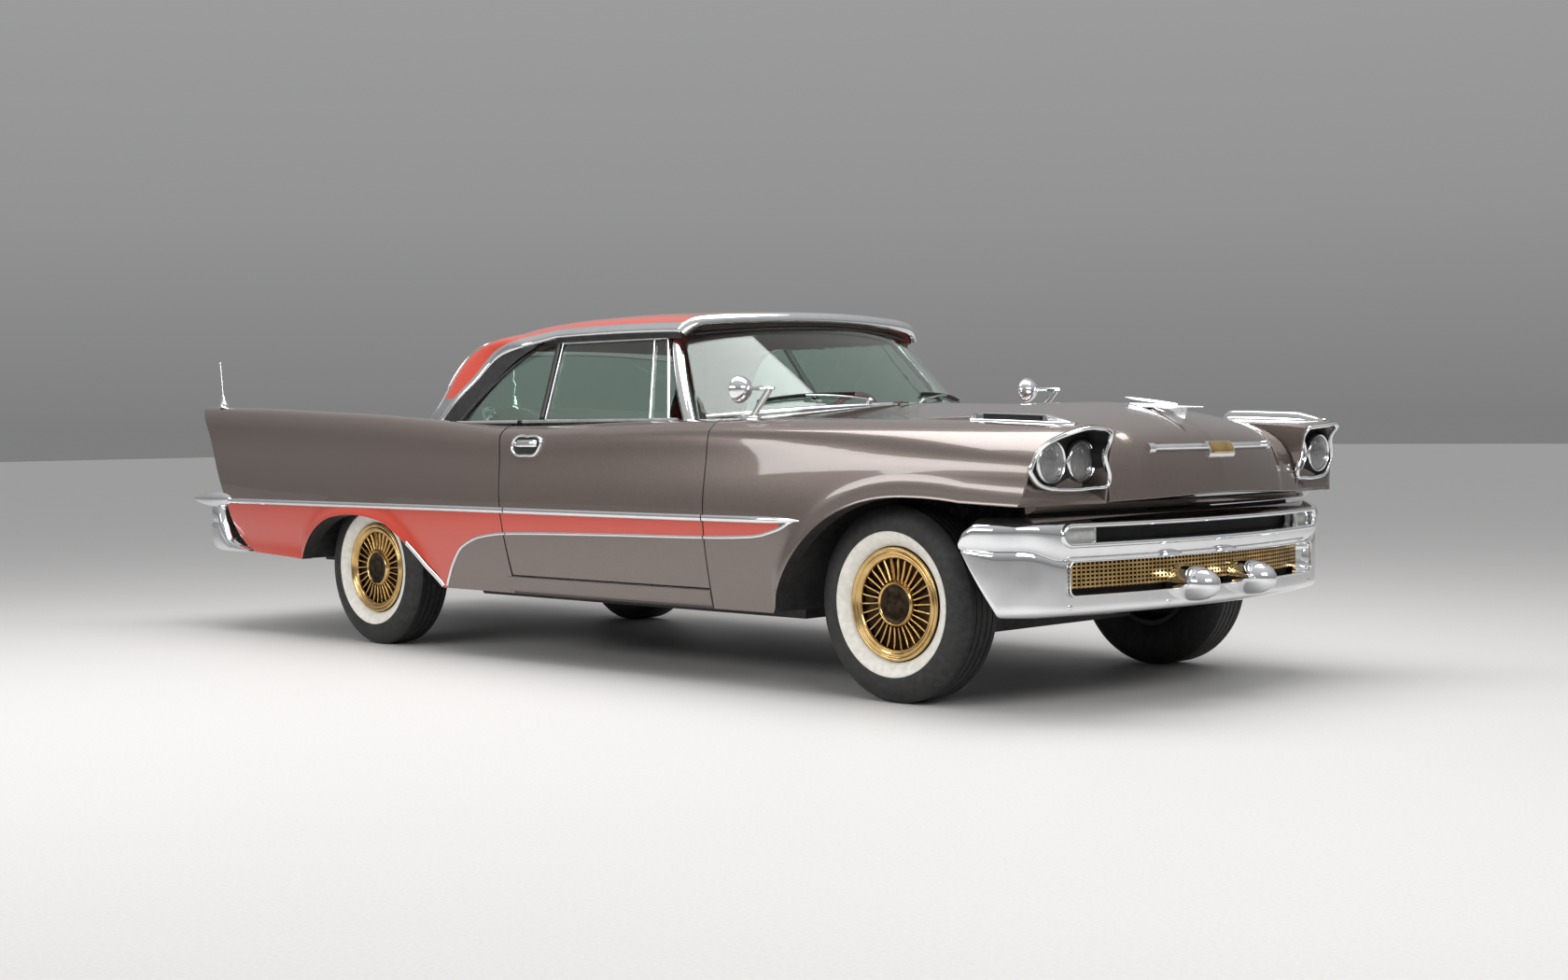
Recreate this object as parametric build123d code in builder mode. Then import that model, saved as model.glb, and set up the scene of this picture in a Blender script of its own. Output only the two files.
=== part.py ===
from build123d import *
import os

# A 1950s two-door hardtop with tail fins, at its real size.
# Frame: +X ahead, +Y to the car's left, +Z up, origin on the ground under the middle of the car.
# Lengths are in millimetres. Right-hand pieces lie at negative Y, and left-hand ones mirror them.

# Driving dimensions
OVERALL_LENGTH = 5552.0
WHEELBASE = 3200.0
FRONT_OVERHANG = 900.0
FRONT_TRACK = 1547.0
REAR_TRACK = 1516.0
TYRE_R = 350.0
ROOF_HEIGHT = 1466.0
PANEL_GAP = 6.0
SKIN = 25.0
GLASS = 6.0
FIT = 0.3

FRONT_AXLE_X = OVERALL_LENGTH / 2 - FRONT_OVERHANG
REAR_AXLE_X = FRONT_AXLE_X - WHEELBASE
HUB_Z = TYRE_R

# The tail is drawn for one rear overhang, and stretches behind the wheel with the car's length
TAIL_START = 440.0
TAIL_DRAWN = 1452.0
TAIL_STRETCH = (OVERALL_LENGTH - WHEELBASE - FRONT_OVERHANG - TAIL_START) / (TAIL_DRAWN - TAIL_START)


def fx(ahead):
    """X of a place that lies so far ahead of the front axle."""
    return FRONT_AXLE_X + ahead


def rx(ahead):
    """X of a place that lies so far ahead of the rear axle."""
    behind = min(ahead + TAIL_START, 0)
    return REAR_AXLE_X + ahead + behind * (TAIL_STRETCH - 1)


def write(piece, name):
    """Labels a finished piece and writes it as one STEP file."""
    piece.label = name
    export_step(piece, f"parts/{name}.step")


def write_pair(piece, name):
    """Writes a right-hand piece and its mirror image."""
    write(piece, f"{name}_right")
    write(mirror(piece, about=Plane.XZ), f"{name}_left")


def middle(a, b, out=(0.0, 0.0)):
    """The point halfway from a to b, pushed by out, where an arc between them passes."""
    return ((a[0] + b[0]) / 2 + out[0], (a[1] + b[1]) / 2 + out[1])


os.makedirs("parts", exist_ok=True)

# Body sides: crest is the belt, fin or fender top, valley the inner edge of the top,
# waist the widest line and sill the bottom edge. Each is a height and a half width.
DOOR_FRONT_X = fx(-836)
DOOR_REAR_X = rx(1160)
SILL_Z = 296.0
WAIST_Z = 640.0
CREST_BULGE = 16.0
FLANK_BULGE = 5.0
# columns: x, crest z, crest w, valley z, valley w, shoulder z, shoulder w, waist w, sill w
SIDE_SECTIONS = [
    (rx(-1420), 1122, 900, 905, 706, 1000, 932, 952, 900),
    (rx(-820), 1100, 910, 950, 706, 985, 946, 972, 918),
    (rx(-300), 1076, 916, 985, 708, 962, 956, 982, 930),
    (rx(508), 1031, 922, 1000, 790, 922, 965, 990, 938),
    (rx(1085), 990, 925, 985, 800, 890, 968, 992, 940),
    (fx(-1450), 1000, 925, 995, 806, 895, 968, 992, 940),
    (fx(-830), 1010, 915, 1003, 800, 900, 963, 990, 938),
    (fx(-300), 1004, 890, 1000, 598, 898, 955, 985, 935),
    (fx(250), 994, 850, 984, 596, 890, 946, 978, 930),
    (fx(620), 982, 812, 960, 592, 872, 938, 965, 925),
    (fx(880), 966, 770, 930, 592, 855, 920, 945, 915),
]

with BuildPart() as side_blank:
    for x, crest_z, crest_w, valley_z, valley_w, shoulder_z, shoulder_w, waist_w, sill_w in SIDE_SECTIONS:
        sill, waist = (-sill_w, SILL_Z), (-waist_w, WAIST_Z)
        shoulder, crest = (-shoulder_w, shoulder_z), (-crest_w, crest_z)
        valley, foot = (-valley_w, valley_z), (-valley_w, SILL_Z)
        with BuildSketch(Plane.YZ.offset(x)):
            with BuildLine():
                Line(sill, waist)
                ThreePointArc(waist, middle(waist, shoulder, (-FLANK_BULGE, 0)), shoulder)
                ThreePointArc(shoulder, middle(shoulder, crest, (-CREST_BULGE, CREST_BULGE / 2)), crest)
                Line(crest, valley)
                Line(valley, foot)
                Line(foot, sill)
            make_face()
    loft()

# Wheel arches in side view, and the round wheelhouses behind them
ABOVE = 1400.0
HALF_SPAN = 1100.0
LEDGE_Z = 712.0
FRONT_HOUSE_R = TYRE_R + 62
REAR_HOUSE_R = TYRE_R + 45
FRONT_HOUSE_W = 930.0
REAR_HOUSE_W = 905.0

# Hinges: barrels that turn on short pins. The doors' stand at the waist, out of the skin
BARREL_R = 7.0
BARREL_LONG = 40.0
PIN_R = 3.5
DOOR_HINGE = (DOOR_FRONT_X + PANEL_GAP / 2, -1001.0)

# Front fender: from the door to the nose, open round the wheel
NOSE_X = fx(860)
HOOD_REAR_X = fx(-560)
HOOD_HALF = 584.0
ARCH_FOOT = (fx(-510), SILL_Z)
ARCH_BACK = (fx(-333), 548)
ARCH_TOP = (fx(40), 734)
LAMP_FACE = Plane(origin=(fx(716), -755, 850), x_dir=(0.2, 0.98, 0), z_dir=(0.97, -0.2, -0.14))
BROW_REACH = 54.0
BROW_Z = 941.0
with BuildPart() as brow:
    add(side_blank.part)
    split(bisect_by=LAMP_FACE.offset(BROW_REACH), keep=Keep.BOTTOM)
    split(bisect_by=LAMP_FACE.offset(-BROW_REACH), keep=Keep.TOP)
    split(bisect_by=Plane.XY.offset(BROW_Z), keep=Keep.TOP)

SCOOP_Y = 756.0
SCOOP_WIDE = 44.0
with BuildPart() as fender:
    add(side_blank.part)
    with BuildSketch(Plane.XZ):
        with BuildLine():
            Line((DOOR_FRONT_X + PANEL_GAP, SILL_Z - 1), ARCH_FOOT)
            ThreePointArc(ARCH_FOOT, ARCH_BACK, ARCH_TOP)
            Polyline(
                ARCH_TOP,
                (fx(420), LEDGE_Z + 6),
                (NOSE_X, LEDGE_Z - 10),
                (NOSE_X, ABOVE),
                (DOOR_FRONT_X + PANEL_GAP, ABOVE),
                (DOOR_FRONT_X + PANEL_GAP, SILL_Z - 1),
            )
        make_face()
    extrude(amount=HALF_SPAN, mode=Mode.INTERSECT)
    with BuildSketch(Plane.XZ):
        with Locations((FRONT_AXLE_X, HUB_Z)):
            Circle(FRONT_HOUSE_R)
    extrude(amount=FRONT_HOUSE_W, mode=Mode.SUBTRACT)
    split(bisect_by=LAMP_FACE, keep=Keep.BOTTOM)
    add(brow.part)
    with BuildSketch(Plane.XZ.offset(SCOOP_Y)):
        with BuildLine():
            Polyline((fx(742), 966), (fx(742), 984), (fx(684), 1003), (fx(636), 1011))
            ThreePointArc((fx(636), 1011), (fx(480), 1013), (fx(330), 1011))
            Polyline((fx(330), 1011), (fx(312), 1001), (fx(312), 966), (fx(742), 966))
        make_face()
    extrude(amount=SCOOP_WIDE)
    with Locations((HOOD_REAR_X - PANEL_GAP, 0, SILL_Z)):
        Box(
            NOSE_X - HOOD_REAR_X, 2 * (HOOD_HALF + PANEL_GAP), ABOVE,
            align=(Align.MIN, Align.CENTER, Align.MIN), mode=Mode.SUBTRACT,
        )
    for foot_z in (WAIST_Z - BARREL_LONG / 2 - FIT - 12, WAIST_Z + BARREL_LONG / 2 + FIT):
        with Locations((DOOR_HINGE[0], DOOR_HINGE[1], foot_z)):
            Box(30, 9, 12, align=(Align.MIN, Align.CENTER, Align.MIN))
            Box(24, 40, 12, align=(Align.MIN, Align.MIN, Align.MIN))
    with Locations((DOOR_HINGE[0], DOOR_HINGE[1], WAIST_Z)):
        Cylinder(PIN_R, BARREL_LONG + 20)
write_pair(fender.part, "front_fender")

# Quarter panel with the fin: from the door to the tail, half covering the wheel
LID_FRONT_X = rx(-14)
LID_HALF = 698.0
TAIL_TOP = (rx(-1372), 1135)
TAIL_FOOT = (rx(-1092), 632)
REAR_ARCH = [
    (rx(655), SILL_Z),
    (rx(500), 445),
    (rx(290), 572),
    (rx(70), 600),
    (rx(-130), 584),
    (rx(-310), 500),
    (rx(-420), 380),
]
with BuildPart() as quarter:
    add(side_blank.part)
    with BuildSketch(Plane.XZ):
        with BuildLine():
            ThreePointArc(*REAR_ARCH[0:3])
            ThreePointArc(*REAR_ARCH[2:5])
            ThreePointArc(*REAR_ARCH[4:7])
            Line(REAR_ARCH[6], (rx(-860), 400))
            ThreePointArc((rx(-860), 400), (rx(-1010), 478), TAIL_FOOT)
            Polyline(
                TAIL_FOOT,
                TAIL_TOP,
                (rx(-1372), ABOVE),
                (DOOR_REAR_X - 70, ABOVE),
                (DOOR_REAR_X - 70, 1000),
                (DOOR_REAR_X, 372),
                (DOOR_REAR_X, SILL_Z),
                REAR_ARCH[0],
            )
        make_face()
    extrude(amount=HALF_SPAN, mode=Mode.INTERSECT)
    with BuildSketch(Plane.XZ):
        with Locations((REAR_AXLE_X, HUB_Z)):
            Circle(REAR_HOUSE_R)
    extrude(amount=REAR_HOUSE_W, mode=Mode.SUBTRACT)
    with Locations((LID_FRONT_X + PANEL_GAP, 0, SILL_Z)):
        Box(
            WHEELBASE, 2 * (LID_HALF + PANEL_GAP), ABOVE,
            align=(Align.MAX, Align.CENTER, Align.MIN), mode=Mode.SUBTRACT,
        )
write_pair(quarter.part, "quarter_panel")

# Door: the whole thickness of the side between its shut lines, above the sill
DOOR_FOOT_Z = 374.0
DOOR_INNER_W = 838.0
DOOR_SHUT = Plane(origin=(DOOR_REAR_X + PANEL_GAP, -1000, 372), z_dir=(-628, 66, -70))
HANDLE = (DOOR_REAR_X + 124, 905.0)
HANDLE_LONG = 124.0
HANDLE_HIGH = 26.0
with BuildPart() as door:
    add(side_blank.part)
    with BuildSketch(Plane.XZ):
        Polygon(
            (DOOR_FRONT_X, DOOR_FOOT_Z),
            (DOOR_FRONT_X, ABOVE),
            (DOOR_REAR_X - 200, ABOVE),
            (DOOR_REAR_X - 200, DOOR_FOOT_Z),
            align=None,
        )
    extrude(amount=HALF_SPAN, mode=Mode.INTERSECT)
    split(bisect_by=DOOR_SHUT, keep=Keep.BOTTOM)
    split(bisect_by=Plane(origin=(0, -DOOR_INNER_W, 0), z_dir=(0, 1, 0)), keep=Keep.BOTTOM)
    with BuildSketch(Plane.XZ.offset(950)):
        with Locations(HANDLE):
            SlotOverall(HANDLE_LONG, HANDLE_HIGH)
    extrude(amount=38)
    with Locations((DOOR_HINGE[0], DOOR_HINGE[1], WAIST_Z)):
        Cylinder(BARREL_R, BARREL_LONG)
        Box(30, 9, BARREL_LONG, align=(Align.MAX, Align.CENTER, Align.CENTER))
    with Locations((DOOR_HINGE[0] - 8, DOOR_HINGE[1], WAIST_Z)):
        Box(22, 40, BARREL_LONG, align=(Align.MAX, Align.MIN, Align.CENTER))
    with Locations((DOOR_HINGE[0], DOOR_HINGE[1], WAIST_Z)):
        Cylinder(PIN_R + FIT, BARREL_LONG, mode=Mode.SUBTRACT)
write_pair(door.part, "door")

# Hinges of the hood and trunk lid, on one axis each
HINGE_Y = 150.0
HOOD_HINGE = (HOOD_REAR_X + 3, 1066.0)
LID_HINGE = (LID_FRONT_X - 3, 1015.0)


def hinge_pins(place, back, step, deep):
    """Both pins of a hinge with the ears that tie them to the fixed panel behind or ahead."""
    with BuildPart() as pins:
        with BuildSketch(Plane.XZ.offset(-HINGE_Y - BARREL_LONG / 2 - FIT)):
            with Locations(place):
                Rectangle(40, 8, align=(back, Align.CENTER))
            with Locations((place[0] + step, place[1] + 4)):
                Rectangle(28, deep, align=(back, Align.MAX))
        extrude(amount=-10)
        with BuildSketch(Plane.XZ.offset(-HINGE_Y - BARREL_LONG / 2 - 5)):
            with Locations(place):
                Circle(PIN_R)
        extrude(amount=BARREL_LONG)
        mirror(about=Plane.XZ)
    return pins.part


# Hood and trunk lid: side profiles at several half widths, lofted across the car
# columns: y, rear z, brow x, brow z, face x, face z, lip x, lip z
HOOD_PROFILES = [
    (-HOOD_HALF, 1002, fx(470), 990, fx(690), 880, fx(742), 714),
    (-300, 1042, fx(520), 1012, fx(728), 905, fx(786), 722),
    (0, 1066, fx(540), 1026, fx(742), 915, fx(806), 730),
    (300, 1042, fx(520), 1012, fx(728), 905, fx(786), 722),
    (HOOD_HALF, 1002, fx(470), 990, fx(690), 880, fx(742), 714),
]
DART_Z = 1020.0
DART_HALF = 50.0
DART_HIGH = 26.0
with BuildPart() as hood:
    for y, rear_z, brow_x, brow_z, face_x, face_z, lip_x, lip_z in HOOD_PROFILES:
        rear, brow, lip = (HOOD_REAR_X, rear_z), (brow_x, brow_z), (lip_x, lip_z)
        rear_in, brow_in, lip_in = (HOOD_REAR_X, rear_z - SKIN), (brow_x - 10, brow_z - SKIN), (lip_x - SKIN, lip_z)
        with BuildSketch(Plane.XZ.offset(-y)):
            with BuildLine():
                ThreePointArc(rear, middle(rear, brow, (0, 14)), brow)
                ThreePointArc(brow, (face_x, face_z), lip)
                Line(lip, lip_in)
                ThreePointArc(lip_in, (face_x - SKIN, face_z - SKIN / 2), brow_in)
                ThreePointArc(brow_in, middle(brow_in, rear_in, (0, 14)), rear_in)
                Line(rear_in, rear)
            make_face()
    loft()
    for y in (-HINGE_Y, HINGE_Y):
        with BuildSketch(Plane.XZ.offset(-y - BARREL_LONG / 2)):
            with Locations(HOOD_HINGE):
                Circle(BARREL_R)
        extrude(amount=BARREL_LONG)
        with BuildSketch(Plane.XZ.offset(-y - BARREL_LONG)):
            with Locations(HOOD_HINGE):
                Circle(PIN_R + FIT)
        extrude(amount=2 * BARREL_LONG, mode=Mode.SUBTRACT)
    with BuildSketch(Plane.XY.offset(DART_Z)):
        Polygon((fx(400), -DART_HALF), (fx(400), DART_HALF), (fx(719), 0), align=None)
    extrude(amount=DART_HIGH)
write(hood.part, "hood")

# columns: y, front z, ridge x, ridge z, lip x, lip z
LID_PROFILES = [
    (-LID_HALF, 990, rx(-960), 868, rx(-1096), 668),
    (-350, 1004, rx(-1000), 888, rx(-1130), 676),
    (0, 1012, rx(-1012), 896, rx(-1140), 680),
    (350, 1004, rx(-1000), 888, rx(-1130), 676),
    (LID_HALF, 990, rx(-960), 868, rx(-1096), 668),
]
with BuildPart() as trunk_lid:
    for y, front_z, ridge_x, ridge_z, lip_x, lip_z in LID_PROFILES:
        front, ridge, lip = (LID_FRONT_X, front_z), (ridge_x, ridge_z), (lip_x, lip_z)
        front_in, ridge_in, lip_in = (LID_FRONT_X, front_z - SKIN), (ridge_x + 8, ridge_z - SKIN), (lip_x + SKIN, lip_z)
        with BuildSketch(Plane.XZ.offset(-y)):
            with BuildLine():
                ThreePointArc(front, middle(front, ridge, (0, 18)), ridge)
                ThreePointArc(ridge, middle(ridge, lip, (-34, 26)), lip)
                Line(lip, lip_in)
                ThreePointArc(lip_in, middle(ridge_in, lip_in, (-30, 22)), ridge_in)
                ThreePointArc(ridge_in, middle(front_in, ridge_in, (0, 18)), front_in)
                Line(front_in, front)
            make_face()
    loft()
    for y in (-HINGE_Y, HINGE_Y):
        with BuildSketch(Plane.XZ.offset(-y - BARREL_LONG / 2)):
            with Locations(LID_HINGE):
                Circle(BARREL_R)
        extrude(amount=BARREL_LONG)
        with BuildSketch(Plane.XZ.offset(-y - BARREL_LONG)):
            with Locations(LID_HINGE):
                Circle(PIN_R + FIT)
        extrude(amount=2 * BARREL_LONG, mode=Mode.SUBTRACT)
write(trunk_lid.part, "trunk_lid")

# Cowl ahead of the windshield, and the deck behind the rear window
COWL_THICK = 60.0
# columns: x, half width, edge z, middle z
COWL_SECTIONS = [
    (HOOD_REAR_X - PANEL_GAP, 690, 1000, 1062),
    (fx(-826), 790, 1004, 1052),
    (fx(-1130), 790, 1004, 1036),
]
with BuildPart() as cowl:
    for x, half, edge_z, mid_z in COWL_SECTIONS:
        with BuildSketch(Plane.YZ.offset(x)):
            with BuildLine():
                ThreePointArc((-half, edge_z), (0, mid_z), (half, edge_z))
                Line((half, edge_z), (half, edge_z - COWL_THICK))
                ThreePointArc((half, edge_z - COWL_THICK), (0, mid_z - COWL_THICK), (-half, edge_z - COWL_THICK))
                Line((-half, edge_z - COWL_THICK), (-half, edge_z))
            make_face()
    loft()
    add(fender.part, mode=Mode.SUBTRACT)
    add(mirror(fender.part, about=Plane.XZ), mode=Mode.SUBTRACT)
    add(hinge_pins(HOOD_HINGE, Align.MAX, -12, 30))
write(cowl.part, "cowl")

DECK_FRONT_X = rx(460)
DECK_HALF = 790.0
DECK_EDGE_Z = 997.0
DECK_Z = 1010.0
with BuildPart() as rear_deck:
    with BuildSketch(Plane.YZ.offset(LID_FRONT_X + PANEL_GAP)):
        with BuildLine():
            ThreePointArc((-DECK_HALF, DECK_EDGE_Z), (0, DECK_Z), (DECK_HALF, DECK_EDGE_Z))
            Line((DECK_HALF, DECK_EDGE_Z), (DECK_HALF, DECK_EDGE_Z - SKIN))
            ThreePointArc((DECK_HALF, DECK_EDGE_Z - SKIN), (0, DECK_Z - SKIN), (-DECK_HALF, DECK_EDGE_Z - SKIN))
            Line((-DECK_HALF, DECK_EDGE_Z - SKIN), (-DECK_HALF, DECK_EDGE_Z))
        make_face()
    extrude(amount=DECK_FRONT_X - LID_FRONT_X - PANEL_GAP)
    add(hinge_pins(LID_HINGE, Align.MIN, 12, 16))
    add(quarter.part, mode=Mode.SUBTRACT)
    add(mirror(quarter.part, about=Plane.XZ), mode=Mode.SUBTRACT)
write(rear_deck.part, "rear_deck")

# Roof: a crowned shell inside the roof rail's outline, on four pillars
ROOF_SKIN = 36.0
RAIL_LIP = 4.0
RAIL_CORNER_X = fx(-1276)
RAIL_FRONT_X = fx(-1130)
RAIL_TAIL_CORNER_X = rx(600)
RAIL_TAIL_X = rx(470)
# columns: x, rail half width, rail z, shoulder half width, shoulder z, crown z
ROOF_SECTIONS = [
    (fx(-1060), 706, 1352, 600, 1404, 1430),
    (fx(-1400), 704, 1364, 585, 1432, ROOF_HEIGHT - 6),
    (fx(-1900), 700, 1366, 575, 1436, ROOF_HEIGHT),
    (rx(860), 684, 1344, 560, 1410, 1442),
    (rx(430), 664, 1258, 548, 1318, 1352),
]


def roof_mass(inset, drop):
    """Everything under the roof's surface, less an inset, down to a drop below the rails."""
    with BuildPart() as mass:
        for x, rail_w, rail_z, shoulder_w, shoulder_z, crown_z in ROOF_SECTIONS:
            rail, shoulder = (rail_w - inset, rail_z), (shoulder_w - inset / 2, shoulder_z - inset)
            rail_far, shoulder_far = (-rail[0], rail[1]), (-shoulder[0], shoulder[1])
            low = rail_z - drop
            with BuildSketch(Plane.YZ.offset(x)):
                with BuildLine():
                    ThreePointArc(rail, middle(rail, shoulder, (14, 14)), shoulder)
                    ThreePointArc(shoulder, (0, crown_z - inset), shoulder_far)
                    ThreePointArc(shoulder_far, middle(shoulder_far, rail_far, (-14, 14)), rail_far)
                    Polyline(rail_far, (-rail[0], low), (rail[0], low), rail)
                make_face()
        loft()
    return mass.part


# Pillars as plan corners at foot and head
BELT_Z = 1000.0
PILLAR_HEAD_Z = 1398.0
TAIL_HEAD_Z = 1330.0
A_FOOT = [(fx(-1068), -812), (fx(-1118), -822), (fx(-1122), -788), (fx(-1076), -776)]
A_HEAD = [(fx(-1330), -618), (fx(-1380), -624), (fx(-1384), -592), (fx(-1336), -586)]
C_FOOT = [(rx(668), -836), (rx(345), -776), (rx(320), -706), (rx(630), -776)]
C_HEAD = [(rx(960), -650), (rx(600), -606), (rx(590), -560), (rx(930), -612)]
with BuildPart() as pillars:
    for foot, head, head_z in ((A_FOOT, A_HEAD, PILLAR_HEAD_Z), (C_FOOT, C_HEAD, TAIL_HEAD_Z)):
        with BuildSketch(Plane.XY.offset(BELT_Z)) as foot_section:
            Polygon(*foot, align=None)
        with BuildSketch(Plane.XY.offset(head_z)) as head_section:
            Polygon(*head, align=None)
        loft(sections=[foot_section.sketch, head_section.sketch], ruled=True)
    mirror(about=Plane.XZ)

OUTLINE_HALF = 730.0
with BuildPart() as roof:
    add(roof_mass(0, RAIL_LIP))
    with BuildSketch(Plane.XY.offset(BELT_Z)):
        with BuildLine():
            ThreePointArc((RAIL_CORNER_X, OUTLINE_HALF), (RAIL_FRONT_X, 0), (RAIL_CORNER_X, -OUTLINE_HALF))
            Line((RAIL_CORNER_X, -OUTLINE_HALF), (RAIL_TAIL_CORNER_X, -OUTLINE_HALF))
            ThreePointArc(
                (RAIL_TAIL_CORNER_X, -OUTLINE_HALF), (RAIL_TAIL_X, 0), (RAIL_TAIL_CORNER_X, OUTLINE_HALF)
            )
            Line((RAIL_TAIL_CORNER_X, OUTLINE_HALF), (RAIL_CORNER_X, OUTLINE_HALF))
        make_face()
    extrude(amount=ABOVE, mode=Mode.INTERSECT)
    add(roof_mass(ROOF_SKIN, ROOF_HEIGHT - BELT_Z), mode=Mode.SUBTRACT)
    add(pillars.part)
    for piece in (cowl.part, quarter.part, mirror(quarter.part, about=Plane.XZ)):
        add(piece, mode=Mode.SUBTRACT)
write(roof.part, "roof")

# Windshield and rear window: wrapped bands of glass from the belt up to the roof
# columns: foot corner x, foot half width, foot middle x, head z, head corner x, head half width, head middle x
WINDSHIELD = (fx(-1056), 800, fx(-660), 1400, fx(-1317), 634, fx(-1162))
BACKLIGHT = (rx(312), 690, rx(60), 1330, rx(590), 560, rx(496))


def glass_band(sizes, depth, edge_z, crown_z):
    """A wrapped pane depth thick along X, whose top follows an arc from edge to crown."""
    foot_x, foot_w, foot_mid, head_z, head_x, head_w, head_mid = sizes
    with BuildPart() as band:
        for z, x, w, mid in ((BELT_Z, foot_x, foot_w, foot_mid), (head_z, head_x, head_w, head_mid)):
            with BuildSketch(Plane.XY.offset(z)):
                with BuildLine():
                    ThreePointArc((x, -w), (mid, 0), (x, w))
                    Line((x, w), (x + depth, w))
                    ThreePointArc((x + depth, w), (mid + depth, 0), (x + depth, -w))
                    Line((x + depth, -w), (x, -w))
                make_face()
        loft(ruled=True)
        with BuildSketch(Plane.YZ.offset(rx(0))):
            with BuildLine():
                ThreePointArc((-head_w, edge_z), (0, crown_z), (head_w, edge_z))
                Polyline(
                    (head_w, edge_z), (HALF_SPAN, edge_z), (HALF_SPAN, 0), (-HALF_SPAN, 0), (-HALF_SPAN, edge_z),
                    (-head_w, edge_z),
                )
            make_face()
        extrude(amount=WHEELBASE, mode=Mode.INTERSECT)
    return band.part


with BuildPart() as windshield:
    add(glass_band(WINDSHIELD, GLASS * 2, 1350, 1394))
    add(cowl.part, mode=Mode.SUBTRACT)
    add(roof.part, mode=Mode.SUBTRACT)
write(windshield.part, "windshield")

with BuildPart() as backlight:
    add(glass_band(BACKLIGHT, -GLASS * 2, 1288, 1318))
    add(rear_deck.part, mode=Mode.SUBTRACT)
    add(roof.part, mode=Mode.SUBTRACT)
write(backlight.part, "backlight")

# Side glass: flat panes that lean in with the pillars
GLASS_FOOT_W = 866.0
GLASS_HEAD_W = 668.0
GLASS_HEAD_Z = 1352.0
PANE = Plane(
    origin=(0, -GLASS_FOOT_W, BELT_Z),
    x_dir=(1, 0, 0),
    z_dir=(0, -(GLASS_HEAD_Z - BELT_Z), GLASS_FOOT_W - GLASS_HEAD_W),
)
PANE_HIGH = ((GLASS_HEAD_Z - BELT_Z) ** 2 + (GLASS_FOOT_W - GLASS_HEAD_W) ** 2) ** 0.5 - 14
PANE_LOW = -30.0
PANE_STEP = 14.0
DIVIDER_FOOT_X = rx(1262)
DIVIDER_HEAD_X = rx(1167)
DIVIDER_LEAN = (DIVIDER_HEAD_X - DIVIDER_FOOT_X) / (PANE_HIGH - PANE_STEP)
with BuildPart() as door_glass:
    with BuildSketch(PANE):
        Polygon(
            (fx(-1140), PANE_LOW),
            (fx(-1352), PANE_HIGH),
            (DIVIDER_HEAD_X + PANEL_GAP, PANE_HIGH),
            (DIVIDER_FOOT_X + PANEL_GAP + DIVIDER_LEAN * (PANE_LOW - PANE_STEP), PANE_LOW),
            align=None,
        )
    extrude(amount=-GLASS)
    add(door.part, mode=Mode.SUBTRACT)
write_pair(door_glass.part, "door_glass")

with BuildPart() as quarter_glass:
    with BuildSketch(PANE):
        with BuildLine():
            Polyline(
                (rx(690), PANE_LOW),
                (DOOR_REAR_X - 90, PANE_LOW),
                (DOOR_REAR_X - 90, PANE_STEP),
                (DIVIDER_FOOT_X, PANE_STEP),
                (DIVIDER_HEAD_X, PANE_HIGH),
                (rx(1010), PANE_HIGH - 30),
            )
            ThreePointArc((rx(1010), PANE_HIGH - 30), (rx(850), 225), (rx(690), PANE_LOW))
        make_face()
    extrude(amount=-GLASS)
    add(roof.part, mode=Mode.SUBTRACT)
    add(quarter.part, mode=Mode.SUBTRACT)
write_pair(quarter_glass.part, "quarter_glass")

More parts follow.
